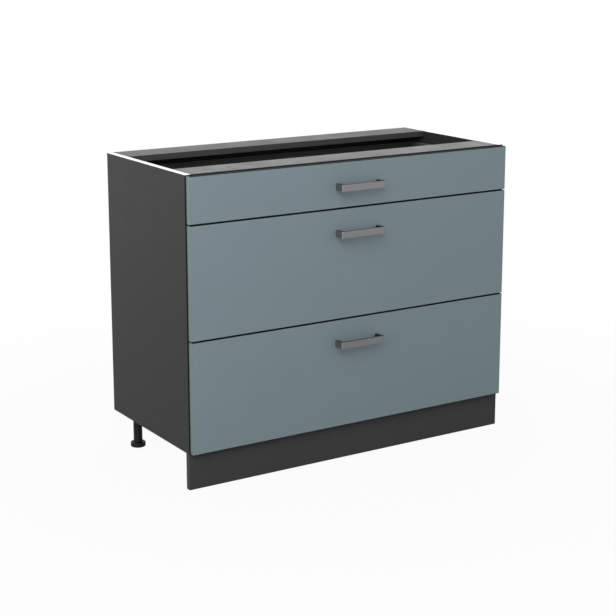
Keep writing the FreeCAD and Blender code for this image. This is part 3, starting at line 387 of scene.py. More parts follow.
# %% Swept and rounded outlines
def sweep(bm, outline, axis, start, end, softness, steps=2, all_edges=False):
    """A closed outline swept along an axis. Its rims, or all its edges, are softened."""
    along = "XYZ".index(axis)
    across = [i for i in range(3) if i != along]
    rings = []
    for station in (start, end):
        ring = []
        for point in outline:
            place = [0.0, 0.0, 0.0]
            place[along], place[across[0]], place[across[1]] = station, point[0], point[1]
            ring.append(bm.verts.new(place))
        rings.append(ring)
    near, far = rings
    ends = [bm.faces.new(near), bm.faces.new(far)]
    flanks = [bm.faces.new((near[i - 1], near[i], far[i], far[i - 1])) for i in range(len(near))]
    soften(bm, edges_of(ends + flanks if all_edges else ends), softness, steps)


def rounded(outline, radius, steps=6):
    """The outline with an arc at each corner; the radius is one number, or one for each corner."""
    radii = radius if isinstance(radius, (list, tuple)) else [radius] * len(outline)
    result = []
    for i, wanted in enumerate(radii):
        corner, before = Vector(outline[i]), Vector(outline[i - 1])
        after = Vector(outline[(i + 1) % len(outline)])
        if wanted <= 0:
            result.append(corner)
            continue
        back, ahead = (before - corner), (after - corner)
        half = back.angle(ahead) / 2
        reach = min(wanted / math.tan(half), 0.49 * back.length, 0.49 * ahead.length)
        centre = corner + (back.normalized() + ahead.normalized()).normalized() * (reach / math.cos(half))
        first, last = corner + back.normalized() * reach - centre, corner + ahead.normalized() * reach - centre
        sweep_angle = first.angle(last)
        for step in range(steps + 1):
            share = step / steps
            result.append(centre + (first * math.sin((1 - share) * sweep_angle)
                                    + last * math.sin(share * sweep_angle)) / math.sin(sweep_angle))
    return result


print("outlines can be swept and rounded")

# %% [markdown]
# ## Turned shapes
# Screws, rods, feet and cams are round about an axis. A profile of radius and height, turned as on a lathe,
# gives their real steps and grooves, which a plain cylinder lacks. The radius may depend on the angle, so
# finger grips and a driver's cross-shaped recess can be turned as well.

# %% Turned shapes
def in_mm(*points):
    """Points given in millimetres, as metres. A radius that depends on the angle stays as it is."""
    return [tuple(value if callable(value) else value * MM for value in point) for point in points]


def turn(bm, profile, centre, axis="Z", sides=32, material=0, hollow=False):
    """A profile of radius and height turned round an axis. A radius may depend on the angle."""
    axes = {"X": ((0, 1, 0), (0, 0, 1), (1, 0, 0)), "Y": ((0, 0, 1), (1, 0, 0), (0, 1, 0)),
            "Z": ((1, 0, 0), (0, 1, 0), (0, 0, 1))}
    first, second, along = (Vector(v) for v in axes[axis[-1]])
    if axis.startswith("-"):
        second, along = -second, -along
    rings = []
    for radius, height in profile:
        base = Vector(centre) + along * height
        if not callable(radius) and radius < 1e-9:
            rings.append([bm.verts.new(base)])
            continue
        ring = []
        for i in range(sides):
            angle = math.tau * i / sides
            reach = radius(angle) if callable(radius) else radius
            ring.append(bm.verts.new(base + (first * math.cos(angle) + second * math.sin(angle)) * reach))
        rings.append(ring)
    pairs = list(zip(rings, rings[1:])) + ([(rings[-1], rings[0])] if hollow else [])
    for lower, upper in pairs:
        for i in range(sides):
            loop = [lower[(i - 1) % len(lower)], lower[i % len(lower)],
                    upper[i % len(upper)], upper[(i - 1) % len(upper)]]
            face = bm.faces.new(dict.fromkeys(loop))
            face.material_index = material


print("profiles can be turned")

# %% [markdown]
# ## Screw heads
# A screw head here is a low dome with a cross-shaped recess that narrows towards its floor. The recess could
# be cut out with a boolean, but turning head and recess as one profile leaves a cleaner mesh.

# %% Screw heads
def cross_recess(reach, arm):
    """Outline of a cross-shaped driver recess, as a radius for each angle."""
    def radius(angle):
        lean = abs((angle + math.pi / 4) % (math.pi / 2) - math.pi / 4)
        return min(reach, arm / max(math.sin(lean), 1e-6))
    return radius


def screw_head(bm, centre, axis, head, height):
    """A low domed head with a cross recess, its seat at the centre point."""
    radius = head / 2
    mouth, floor = cross_recess(radius * 0.5, radius * 0.13), cross_recess(radius * 0.3, radius * 0.09)
    turn(bm, [(0, 0), (radius * 0.96, 0), (radius, height * 0.15), (radius * 0.97, height * 0.5),
              (radius * 0.82, height * 0.86), (radius * 0.62, height), (mouth, height),
              (floor, height * 0.15), (0, height * 0.1)], centre, axis, sides=48)


print("screw heads are ready")

# %% [markdown]
# ## Reading the places
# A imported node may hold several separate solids, such as all twelve rail screws. Their places are read from
# the node's own mesh, by walking from face to face until nothing more is joined. Typing the places in again
# would also work, but then they could drift from the CAD.

# %% Read the places of separate solids
def solids_of(node):
    """The lowest and highest corner of each separate solid in a CAD node."""
    bm = bmesh.new()
    bm.from_mesh(nodes[node].data)
    bmesh.ops.remove_doubles(bm, verts=bm.verts, dist=1e-6)
    waiting, boxes = set(bm.verts), []
    while waiting:
        group, edge_of_group = set(), [waiting.pop()]
        while edge_of_group:
            corner = edge_of_group.pop()
            group.add(corner)
            for edge in corner.link_edges:
                other = edge.other_vert(corner)
                if other in waiting:
                    waiting.discard(other)
                    edge_of_group.append(other)
        points = [corner.co for corner in group]
        boxes.append((Vector(min(p[i] for p in points) for i in range(3)),
                      Vector(max(p[i] for p in points) for i in range(3))))
    bm.free()
    return sorted(boxes, key=lambda box: tuple(round(v, 5) for v in box[0]))


def middle(box):
    return (box[0] + box[1]) / 2


print("rail screws found:", len(solids_of("rail_screws")))

# %% [markdown]
# ## Finishing a piece
# A mesh becomes part of the cabinet when it has its finishes, smooth shading up to a sharp edge and a CAD body
# to ride on, and the CAD nodes that it stands for are hidden. One helper does all that for every new mesh.
# A second one keeps a CAD node as it is and only softens its edges with modifiers, for sections that are
# already exact.

# %% Finish a piece
SHARP_ANGLE = math.radians(38)


def finish_piece(name, bm, finishes, body, stands_for):
    """Turn the built mesh into an object with finishes, smooth faces and a body, and hide the CAD nodes it stands
    for.
    """
    bmesh.ops.recalc_face_normals(bm, faces=bm.faces)
    for face in bm.faces:
        face.smooth = True
    for edge in bm.edges:
        edge.smooth = edge.is_manifold and edge.calc_face_angle(0) < SHARP_ANGLE
    mesh = bpy.data.meshes.new(name)
    bm.to_mesh(mesh)
    bm.free()
    for finish in finishes:
        mesh.materials.append(finish)
    piece = bpy.data.objects.new(name, mesh)
    bpy.context.scene.collection.objects.link(piece)
    weighting = piece.modifiers.new("even_shading", "WEIGHTED_NORMAL")
    weighting.keep_sharp = True
    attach(piece, body)
    if stands_for:
        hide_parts(*stands_for)


def dress_cad(node, finish, softness=0.0):
    """Keep a CAD node, give it a finish, and soften its edges without touching its mesh."""
    piece = nodes[node]
    piece.data.materials.clear()
    piece.data.materials.append(finish)
    if softness:
        piece.modifiers.new("join_faces", "WELD").merge_threshold = 1e-6
        flat = piece.modifiers.new("flat_faces", "DECIMATE")
        flat.decimate_type = "DISSOLVE"
        flat.angle_limit = math.radians(0.5)
        soft = piece.modifiers.new("soft_edges", "BEVEL")
        soft.width, soft.segments, soft.limit_method = softness, 2, "ANGLE"
        soft.angle_limit = math.radians(32)
        piece.modifiers.new("even_shading", "WEIGHTED_NORMAL").keep_sharp = True


print("pieces can be finished")

# %% [markdown]
# ## How a faced board is made
# A real board is a slab with a face on both sides and thin bands glued to its edges; the joint between band
# and face is a hairline. So each board here is a core with separate bands, every part softened by a tenth
# or two of a millimetre. Edges without a band show raw chips. Grooves could be cut, but sweeping a section
# with a notch in it gives the same board with fewer faces.

# %% Faced boards with banded edges
BAND = 0.8 * MM


def edge_strip(bm, low, high, axis, outward, softness, material=1):
    """A thin band whose outward edges are rounded and whose glued edges stay crisp."""
    outer = high[axis] if outward > 0 else low[axis]
    rim = [edge for edge in edges_of(sharp_box(bm, low, high, material))
           if all(abs(corner.co[axis] - outer) < 1e-7 for corner in edge.verts)]
    soften(bm, rim, softness, 3)


def banded_board(bm, low, high, thickness, banded, rounding=0.35 * MM, groove=None, band=BAND, level_band=1):
    """Faces take slot 0, bands slot 1, raw chips slot 2. A band is named by its side, such as -Y."""
    low, high = list(low), list(high)
    for side in banded:
        axis = "XYZ".index(side[1])
        strip_low, strip_high = list(low), list(high)
        if side[0] == "-":
            strip_high[axis] = low[axis] = low[axis] + band
        else:
            strip_low[axis] = high[axis] = high[axis] - band
        edge_strip(bm, strip_low, strip_high, axis, -1 if side[0] == "-" else 1, rounding,
                   level_band if side[1] == "Z" else 1)
    strips = set(bm.faces)
    if groove:
        sweep_axis, outline = groove(low, high)
        along = "XYZ".index(sweep_axis)
        sweep(bm, outline, sweep_axis, low[along], high[along], 0.1 * MM, 1, all_edges=True)
    else:
        add_box(bm, low, high, 0.1 * MM, 1)
    across = "XYZ".index(thickness)
    for face in set(bm.faces) - strips:
        place = face.calc_center_median()[across]
        face.material_index = 2 if low[across] + 0.2 * MM < place < high[across] - 0.2 * MM else 0


print("boards can be banded and grooved")

# %% [markdown]
# ## Drilled holes
# Flat-pack boards are drilled on a boring machine: round blind holes for cams, bolts, dowels and screws. Dark
# discs could stand for them, but an open drawer or a look from below would give those away. So turned pins
# are subtracted from a board, all at once, and the walls of the holes take a finish of their own.

# %% Drilled boards
def drilled(bm, holes, material=2):
    """The mesh with round holes: each is an axis, the centre of its mouth, a depth and a diameter."""
    pins = bmesh.new()
    for axis, mouth, depth, diameter in holes:
        turn(pins, [(0, -0.4 * MM), (diameter / 2, -0.4 * MM), (diameter / 2, depth), (0, depth)],
             mouth, axis, 28, material)
    bmesh.ops.recalc_face_normals(pins, faces=pins.faces)
    bmesh.ops.recalc_face_normals(bm, faces=bm.faces)
    helpers = []
    for name, source in (("board_to_drill", bm), ("drill_pins", pins)):
        mesh = bpy.data.meshes.new(name)
        source.to_mesh(mesh)
        source.free()
        for _ in range(4):
            mesh.materials.append(None)
        helpers.append(bpy.data.objects.new(name, mesh))
        bpy.context.scene.collection.objects.link(helpers[-1])
    board, cutter = helpers
    cut = board.modifiers.new("drilled", "BOOLEAN")
    cut.object, cut.solver = cutter, "EXACT"
    result = board.evaluated_get(bpy.context.evaluated_depsgraph_get()).to_mesh()
    fresh = bmesh.new()
    fresh.from_mesh(result)
    for helper in helpers:
        bpy.data.objects.remove(helper)
    return fresh


print("boards can be drilled")

# %% [markdown]
# ## Side panels
# Two upright boards carry everything. On the inside each has the back panel's groove, bores for bolts and
# dowels, and pilot holes for the runner screws. Only the front edge is banded in graphite; the edges at the
# wall and over the floor are raw. A plain box would miss all that, so the section is swept and drilled.

# %% Side panels and their white top bands
GROOVE = (230.7 * MM, 234 * MM)
GROOVE_DEPTH = 6 * MM
INNER_FACE = 0.484


def fitting_holes(side):
    """Bores that the CAD's bolts, dowels and rail screws need in one side panel."""
    axis, inner = ("-X", -INNER_FACE) if side < 0 else ("X", INNER_FACE)
    holes = []
    for node, depth, diameter in (("cam_bolts", 11.2, 5.2), ("dowels", 10.2, 8.2), ("rail_screws", 11, 4.2)):
        for box in solids_of(node):
            spot = middle(box)
            if spot.x * side > 0:
                holes.append((axis, (inner, spot.y, spot.z), depth * MM, diameter * MM))
    return holes


for word, side in (("left", -1), ("right", 1)):
    low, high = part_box(f"side_panel_{word}")

    def upright_groove(low, high, side=side):
        inner, outer = (high[0], low[0]) if side < 0 else (low[0], high[0])
        floor_of_groove = inner + side * GROOVE_DEPTH
        return "Z", [(outer, low[1]), (inner, low[1]), (inner, GROOVE[0]), (floor_of_groove, GROOVE[0]),
                     (floor_of_groove, GROOVE[1]), (inner, GROOVE[1]), (inner, high[1]), (outer, high[1])]

    bm = bmesh.new()
    banded_board(bm, low, high, "X", ("-Y",), groove=upright_groove)
    bm = drilled(bm, fitting_holes(side))
    # The front-edge band takes the near-black band finish: painted shade for the gap behind the fronts.
    finish_piece(f"{word}_side_board", bm, [graphite_board, painted_shade_band, raw_chipboard], "root",
                 [f"side_panel_{word}"])
    print(word, "side board:", len(fitting_holes(side)), "bores")

bm = bmesh.new()
for low, high in solids_of("edge_bands"):
    edge_strip(bm, low, high, 2, 1, 0.3 * MM, 0)
finish_piece("white_top_bands", bm, [white_band], "root", ["edge_bands"])
print("white bands lie on both side boards")

# %% [markdown]
# ## Bottom and traverses
# The bottom board and the two flat traverses hold the sides apart. Traverses use less board than a full
# top, because a worktop covers them, and each has two holes for the worktop's screws. One loop makes all
# three, because they differ only in their groove, finishes and holes.

# %% Bottom board and traverses
CAM_INSET = 0.024
WORKTOP_HOLE_X = 0.35


def board_holes(underside):
    """Bores in a flat board: cams from below, and bolts and dowels in both ends."""
    holes = []
    for node, depth, diameter in (("cam_bolts", 24.2, 6.2), ("dowels", 19.2, 8.2)):
        for box in solids_of(node):
            spot = middle(box)
            if abs(spot.z - underside - 8 * MM) < 2 * MM:
                end = math.copysign(INNER_FACE, spot.x)
                holes.append(("-X" if end > 0 else "X", (end, spot.y, spot.z), depth * MM, diameter * MM))
                if node == "cam_bolts":
                    cam_x = end - math.copysign(CAM_INSET, end)
                    holes.append(("Z", (cam_x, spot.y, underside), 12.7 * MM, 15.2 * MM))
    return holes


def flat_groove(top_side):
    def outline(low, high):
        face, other = (high[2], low[2]) if top_side else (low[2], high[2])
        bottom = face - GROOVE_DEPTH if top_side else face + GROOVE_DEPTH
        return "X", [(low[1], other), (high[1], other), (high[1], face), (GROOVE[1], face),
                     (GROOVE[1], bottom), (GROOVE[0], bottom), (GROOVE[0], face), (low[1], face)]
    return outline


# The front edges of the bottom board and front traverse take the near-black band: painted shade.
flat_boards = (("floor_board", "bottom_panel", flat_groove(True), graphite_board, painted_shade_band),
               ("front_top_board", "front_traverse", None, graphite_board, painted_shade_band),
               ("rear_top_board", "rear_traverse", flat_groove(False), dull_graphite, graphite_band))
leg_centres = [middle(box) for box in solids_of("leg_columns")]
for name, node, groove, face_finish, band_finish in flat_boards:
    low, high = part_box(node)
    bm = bmesh.new()
    banded_board(bm, low, high, "Z", ("-Y",), groove=groove)
    holes = [hole for hole in board_holes(low[2]) if low[1] < hole[1][1] < high[1]]
    if node == "bottom_panel":
        holes += [("Z", (leg.x, leg.y, low[2]), 11.2 * MM, 10.2 * MM) for leg in leg_centres]
    bm = drilled(bm, holes)
    # The worktop screw holes take the board's band finish on their walls instead of raw chipboard: painted shade
    # inside the holes.
    if node != "bottom_panel":
        bm = drilled(bm, [("Z", (x, (low[1] + high[1]) / 2, low[2]), 17 * MM, 5 * MM)
                          for x in (-WORKTOP_HOLE_X, WORKTOP_HOLE_X)], 1)
    finish_piece(name, bm, [face_finish, band_finish, raw_chipboard], "root", [node])
    print(name, "has", len(holes), "bores")

# %% [markdown]
# ## Back panel
# The back is thin hardboard that slides into grooves on all four sides and keeps the box square. Its inner
# face is papered, so one box takes two finishes, picked by where a face lies. Two thinner boxes would do it
# too, but the real board is one piece.

# %% Back panel
low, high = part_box("back_panel")
bm = bmesh.new()
add_box(bm, low, high, 0.3 * MM)
for face in bm.faces:
    face.material_index = 1 if face.calc_center_median().y < low[1] + 0.1 * MM else 0
finish_piece("thin_back_board", bm, [hardboard, graphite_paper], "root", ["back_panel"])
print("back board is", round((high[2] - low[2]) / MM, 1), "mm high")

# %% [markdown]
# ## Fittings that join the boards
# Cam housings are zinc castings in blind holes under the boards. A cross-shaped driver recess turns them,
# and they draw the bolts in. They show only from below, but that is where an assembler looks. Bolts and
# dowels sit inside the boards and keep their CAD shapes.

# %% Cam housings, bolts and dowels
bm = bmesh.new()
for low, high in solids_of("cam_housings"):
    spot = ((low.x + high.x) / 2, (low.y + high.y) / 2, low.z)
    turn(bm, in_mm((0, 12.5), (6.6, 12.5), (7.3, 11.8), (7.3, 0.9), (7.5, 0.7), (7.5, 0.15), (7.2, 0), (5.9, 0),
                   (5.6, 0.5), (4.6, 0.5), (cross_recess(4.2 * MM, 0.85 * MM), 0.5),
                   (cross_recess(2.6 * MM, 0.6 * MM), 3.4), (0, 3.6)), spot, "Z", 48)
finish_piece("zinc_cams", bm, [cast_zinc], "root", ["cam_housings"])
dress_cad("cam_bolts", plated_steel)
dress_cad("dowels", beech_wood)
print("cams:", len(solids_of("cam_housings")))

# %% [markdown]
# ## Adjustable legs
# A leg is three mouldings: a socket plate pressed into the bottom board, a column in the socket's collar,
# and a foot. The socket is a swept plate with four screw holes, a turned collar and four ribs that stiffen
# it. A plain disc would look the same from far away, but the thin ribs are what make it read as a moulding.

# %% Leg sockets
def add_rib(bm, centre, angle, points, thickness):
    """A flat rib that stands out from a centre line: points are distance and height."""
    out, along = Vector((math.cos(angle), math.sin(angle), 0)), Vector((-math.sin(angle), math.cos(angle), 0))
    near, far = [[bm.verts.new(Vector((centre[0], centre[1], 0)) + out * r + Vector((0, 0, z)) + along * shift)
                  for r, z in points] for shift in (-thickness / 2, thickness / 2)]
    bm.faces.new(near)
    bm.faces.new(far)
    for i in range(len(points)):
        bm.faces.new((near[i - 1], near[i], far[i], far[i - 1]))


COLLAR, PLATE, BOARD = 76, 93, 96  # heights of their undersides over the floor, in millimetres
bm = bmesh.new()
plate_holes = []
for leg in leg_centres:
    half = 28 * MM
    square = [(leg.x - half, leg.y - half), (leg.x + half, leg.y - half),
              (leg.x + half, leg.y + half), (leg.x - half, leg.y + half)]
    sweep(bm, rounded(square, 14 * MM, 8), "Z", PLATE * MM, BOARD * MM, 0.4 * MM)
    for dx in (-18.5 * MM, 18.5 * MM):
        for dy in (-18.5 * MM, 18.5 * MM):
            plate_holes.append(("Z", (leg.x + dx, leg.y + dy, PLATE * MM), 4 * MM, 4.4 * MM))
bm = drilled(bm, plate_holes, 0)
for leg in leg_centres:
    spot = (leg.x, leg.y, 0)
    turn(bm, in_mm((12.9, COLLAR + 0.5), (13.4, COLLAR), (16.1, COLLAR), (16.5, COLLAR + 0.5), (16.5, COLLAR + 3),
                   (15.3, COLLAR + 4), (15.6, PLATE - 1.5), (17, PLATE + 0.2), (12.9, PLATE + 0.2)),
         spot, "Z", 48, hollow=True)
    for i in range(4):
        add_rib(bm, spot, math.tau * i / 4, in_mm((15, PLATE + 0.1), (27, PLATE + 0.1), (26, PLATE - 2),
                                                  (17, COLLAR + 6), (15, COLLAR + 6)), 1.6 * MM)
    turn(bm, in_mm((0, BOARD - 0.1), (5, BOARD - 0.1), (5, BOARD + 9), (4, BOARD + 11), (0, BOARD + 11)),
         spot, "Z", 24)
finish_piece("leg_socket_mouldings", bm, [moulded_black], "root", ["leg_sockets"])
print("sockets:", len(leg_centres), "with", len(plate_holes), "screw holes")

# %% [markdown]
# ## Columns and screw feet
# The column is a tube. A foot's threaded stem screws up into it, so each foot is a piece of its own that
# rides on its own CAD body. Thread and finger grips come with the turned profile. A spiral thread would be
# truer, but inside a dark tube it looks the same as rings.

# %% Columns and screw feet
def fluted(radius, depth, count):
    """A radius with shallow rounded flutes round the rim, as finger grips have."""
    def reach(angle):
        return radius - depth * (0.5 + 0.5 * math.cos(count * angle)) ** 4
    return reach


bm = bmesh.new()
for leg in leg_centres:
    turn(bm, in_mm((6.4, 13.6), (6.8, 13.3), (12.1, 13.3), (12.5, 13.8), (12.5, 18), (12.2, 18.5), (12.2, 72),
                   (12.5, 73), (12.5, 92.5), (12, 92.9), (6.4, 92.9)), (leg.x, leg.y, 0), "Z", 48, hollow=True)
finish_piece("leg_column_mouldings", bm, [moulded_black], "root", ["leg_columns"])

for corner in ("front_left", "front_right", "back_left", "back_right"):
    low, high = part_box(f"foot_{corner}")
    bm = bmesh.new()
    grip = fluted(20.5 * MM, 0.7 * MM, 24)
    profile = in_mm((0, 0), (18.6, 0), (19.6, 0.5), (grip, 1.5), (grip, 11.4), (19.4, 12.6), (18.4, 13), (6, 13))
    for root in range(14, 76, 2):
        profile += in_mm((5.2, root), (5.4, root + 0.5), (6, root + 0.9), (6, root + 1.2), (5.4, root + 1.6))
    profile += in_mm((5.2, 76.4), (4.6, 77), (0, 77))
    turn(bm, profile, ((low[0] + high[0]) / 2, (low[1] + high[1]) / 2, 0), "Z", 96)
    finish_piece(f"screw_foot_{corner}", bm, [moulded_black], f"foot_{corner}", [f"foot_{corner}"])
print("feet are", round((high[0] - low[0]) / MM, 1), "mm wide")

# %% [markdown]
# ## Plinth
# The plinth is a strip of the same graphite board, flush with the carcass front. Forked clips on its back
# snap round the front legs, so it can be pulled off to clean below. It is banded at its two ends and raw
# along its top and bottom. A fork keeps one section over its height, so it is an outline swept upwards.

# %% Plinth board and clips
low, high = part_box("plinth_board")
bm = bmesh.new()
banded_board(bm, low, high, "Y", ("-X", "+X"))
finish_piece("plinth_strip", bm, [plinth_graphite, plinth_graphite, raw_chipboard], "plinth",
             ["plinth_board"])

bm = bmesh.new()
screw_bm = bmesh.new()
for leg in leg_centres:
    if leg.y > 0:
        continue
    bore, arm, back, tip = 12.8 * MM, 17.8 * MM, high[1] + 2.8 * MM, leg.y + 7 * MM
    saddle = [(leg.x + bore * math.cos(a), leg.y + bore * math.sin(a))
              for a in (-math.pi * i / 20 for i in range(21))]
    fork = [(leg.x + arm, tip - 2 * MM), (leg.x + arm - 2 * MM, tip), (leg.x + bore, tip)] + saddle + [
        (leg.x - bore, tip), (leg.x - arm + 2 * MM, tip), (leg.x - arm, tip - 2 * MM),
        (leg.x - arm, back + 6 * MM), (leg.x - arm - 4 * MM, back),
        (leg.x + arm + 4 * MM, back), (leg.x + arm, back + 6 * MM)]
    sweep(bm, fork, "Z", 44 * MM, 60 * MM, 0.5 * MM)
    left, right, base, top = leg.x - 28 * MM, leg.x + 28 * MM, 34 * MM, 70 * MM
    face = [(left, base), (right, base), (right, top), (left, top)]
    sweep(bm, rounded(face, 5 * MM, 6), "Y", high[1], high[1] + 3 * MM, 0.5 * MM)
    for dx in (-20 * MM, 20 * MM):
        for height in (65 * MM, 39 * MM):
            screw_head(screw_bm, (leg.x + dx, high[1] + 3 * MM, height), "Y", 6.5 * MM, 1.6 * MM)
finish_piece("plinth_clip_mouldings", bm, [moulded_black], "plinth", ["plinth_clips"])
finish_piece("plinth_clip_screws", screw_bm, [plated_steel], "plinth", ())
print("plinth strip and two clips made")

# %% [markdown]
# ## Drawer fronts
# Each front is a 16 mm board with the blue-grey laminate on its face and a thicker, rounded band on all
# four edges. The bands above and below take the near-black finish, painted shade for the gaps, so the gaps
# read as thin black lines. The rounding could be faked in the finish, but it catches the light, so it is real:
# strips rounded in three steps.

# %% Drawer fronts
for name in DRAWERS:
    low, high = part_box(f"front_{name}")
    bm = bmesh.new()
    # level_band=3 gives the top and bottom bands the painted gap shade.
    banded_board(bm, low, high, "Y", ("-X", "+X", "-Z", "+Z"), rounding=0.7 * MM, band=1 * MM, level_band=3)
    holes = [("Y", (middle(box).x, low[1], middle(box).z), 17 * MM, 4.4 * MM)
             for box in solids_of(f"handle_screws_{name}")]
    bm = drilled(bm, holes)
    finish_piece(f"{name}_front_board", bm,
                 [front_face_finish, front_edge_finish, raw_chipboard, front_shadow_edge],
                 f"drawer_{name}", [f"front_{name}"])
    print(name, "front is", round((high[2] - low[2]) / MM, 1), "mm high")

# %% [markdown]
# ## Bow handles
# A handle is one flat bar with two rounded bends and feet that end on the front. Its plan outline is drawn
# once, its bends rounded by their true radii, and swept over the bar's height; then all rims are broken.
# Two screws hold it from inside.

# %% Handles and their screws
for name in DRAWERS:
    low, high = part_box(f"handle_{name}")
    outer, inner = 68 * MM, 60 * MM
    wall, grip, bar_back = high[1], low[1], low[1] + 6 * MM
    plan = [(-outer, wall), (-outer, grip), (outer, grip), (outer, wall),
            (inner, wall), (inner, bar_back), (-inner, bar_back), (-inner, wall)]
    bm = bmesh.new()
    bends = [0, 5 * MM, 5 * MM, 0, 0, 3 * MM, 3 * MM, 0]
    sweep(bm, rounded(plan, bends, 10), "Z", low[2], high[2], 0.6 * MM, 3)
    bm = drilled(bm, [("-Y", (x, wall, (low[2] + high[2]) / 2), 12.4 * MM, 4.4 * MM)
                      for x in (-64 * MM, 64 * MM)], 0)
    # Faces inside the bow and the flat top and underside take slot 1, the painted shade.
    for face in bm.faces:
        centre = face.calc_center_median()
        inside = abs(centre.x) < inner + 1e-5 and centre.y > bar_back - 1e-5
        face.material_index = 1 if inside or abs(face.normal.z) > 0.9 else 0
    finish_piece(f"{name}_bow_handle", bm, [brushed_handle, handle_painted_shade], f"drawer_{name}", [f"handle_{name}"])

    bm = bmesh.new()
    for box in solids_of(f"handle_screws_{name}"):
        spot, seat = middle(box), box[1].y - 2.4 * MM
        screw_head(bm, (spot.x, seat, spot.z), "Y", 8 * MM, 2.4 * MM)
        turn(bm, in_mm((0, 0), (2, 0), (2, 27), (1.4, 28), (0, 28)), (spot.x, seat, spot.z), "-Y", 20)
    finish_piece(f"{name}_handle_screws", bm, [plated_steel], f"drawer_{name}", [f"handle_screws_{name}"])
print("handles are", round((high[2] - low[2]) / MM, 1), "mm high")

# %% [markdown]
# ## Runners
# Full-extension runners are three nested rolled profiles: one screwed to the cabinet, one that travels
# half way, and one under the drawer, with nylon rollers between them. The CAD sections are exact, so these
# nodes stay and only get rolled edges from a bevel modifier. Screw heads are made new.

# %% Rails, roller cages and rail screws
for name in DRAWERS:
    for profile in ("cabinet", "middle", "drawer"):
        dress_cad(f"{profile}_rails_{name}", rail_steel, 0.25 * MM)
    dress_cad(f"roller_cages_{name}", milky_nylon, 0.1 * MM)

bm = bmesh.new()
for box in solids_of("rail_screws"):
    spot = middle(box)
    seat = box[0].x + 1.6 * MM if spot.x > 0 else box[1].x - 1.6 * MM
    inward, outward = ("-X", "X") if spot.x > 0 else ("X", "-X")
    screw_head(bm, (seat, spot.y, spot.z), inward, 9 * MM, 1.6 * MM)
    turn(bm, in_mm((0, 0), (2, 0), (2, 9), (0.5, 12), (0, 12)), (seat, spot.y, spot.z), outward, 20)
finish_piece("runner_screws", bm, [plated_steel], "root", ["rail_screws"])
print("runner screws:", len(solids_of("rail_screws")))

# %% [markdown]
# ## Drawer boxes
# The sides are double-walled steel, powder coated in dark grey, with a foot that carries the base. Their
# folded section is exact in the CAD, so these nodes stay and are only softened. Base and back are graphite
# boards like the carcass and are made in the same way.

# %% Steel sides, bases and backs
for name in DRAWERS:
    for word in ("left", "right"):
        dress_cad(f"drawer_side_{name}_{word}", powder_coat, 0.2 * MM)
    for word, node, thickness, banded in (("floor", "base", "Z", "+Y"), ("rear", "back", "Y", "+Z")):
        bm = bmesh.new()
        banded_board(bm, *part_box(f"drawer_{node}_{name}"), thickness, (banded,))
        finish_piece(f"{name}_drawer_{word}", bm, [drawer_board, graphite_band, raw_chipboard],
                     f"drawer_{name}", [f"drawer_{node}_{name}"])
print("drawer boxes made")

# %% [markdown]
# ## Brackets and gallery rods
# A bracket joins each side to the front, and a plate joins it to the back. Deep drawers also get a round
# gallery rod above each side, from a socket on the front to a tall plate at the back. Sheet and rod are the
# same all along, so their outlines are swept and turned between places that are read from the CAD.

# %% Brackets, back plates and gallery rods
FRONT_BACK, DRAWER_END = -198 * MM, 202 * MM
for name in DRAWERS:
    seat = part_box(f"side_fittings_{name}")[0][2]
    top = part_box(f"drawer_side_{name}_right")[1][2]
    bm = bmesh.new()
    for side in (-1, 1):
        def on_side(a, b, side=side):
            return (a * side, b * side) if side > 0 else (b * side, a * side)

        x0, x1 = on_side(467.2 * MM, 479.8 * MM)
        plate = [(x0, seat), (x1, seat), (x1, top), (x0, top)]
        sweep(bm, rounded(plate, [0.5 * MM, 0.5 * MM, 3 * MM, 3 * MM], 5), "Y",
              FRONT_BACK, FRONT_BACK + 2 * MM, 0.4 * MM)
        x0, x1 = on_side(469 * MM, 478 * MM)
        add_box(bm, (x0, FRONT_BACK + 1.8 * MM, seat + 4 * MM), (x1, FRONT_BACK + 42 * MM, top - 4 * MM), 0.6 * MM)
        if name == "upper":
            back_outline = [(446 * side * MM, seat + 2 * MM), (479 * side * MM, seat + 2 * MM),
                            (479 * side * MM, top - 2 * MM), (446 * side * MM, top - 2 * MM)]
        else:
            level = middle(solids_of(f"gallery_rails_{name}")[0]).z
            back_outline = [(479 * side * MM, seat + 2 * MM), (446 * side * MM, seat + 2 * MM),
                            (446 * side * MM, top + 42 * MM), (467 * side * MM, level + 10 * MM),
                            (479 * side * MM, level + 10 * MM)]
            mouth = (473.5 * side * MM, FRONT_BACK, level)
            turn(bm, in_mm((5.2, 0), (8.7, 0), (9, 0.4), (9, 5.5), (8.2, 7.4), (7.2, 8), (5.2, 8)),
                 mouth, "Y", 40, hollow=True)
            turn(bm, in_mm((0, 0), (5.3, 0), (5.3, 0.6), (0, 0.6)), mouth, "Y", 40)
        sweep(bm, rounded(back_outline, 2.5 * MM, 5), "Y", DRAWER_END, DRAWER_END + 1.5 * MM, 0.3 * MM)
    finish_piece(f"{name}_side_fittings", bm, [powder_coat], f"drawer_{name}", [f"side_fittings_{name}"])

for name in ("centre", "lower"):
    bm = bmesh.new()
    for low, high in solids_of(f"gallery_rails_{name}"):
        spot = ((low.x + high.x) / 2, low.y, (low.z + high.z) / 2)
        length = high.y - low.y
        turn(bm, [(0, 0), (4.5 * MM, 0), (5 * MM, 0.5 * MM), (5 * MM, length - 0.5 * MM), (4.5 * MM, length),
                  (0, length)], spot, "Y", 40)
    finish_piece(f"{name}_gallery_rods", bm, [powder_coat], f"drawer_{name}", [f"gallery_rails_{name}"])
print("brackets and gallery rods made")

# %% [markdown]
# ## Front buffers
# Small clear pads on the side boards' front edges soften the last millimetre of closing. Each is a low dome,
# thicker in the middle, so it is turned. They show as faint dots once a drawer is open.

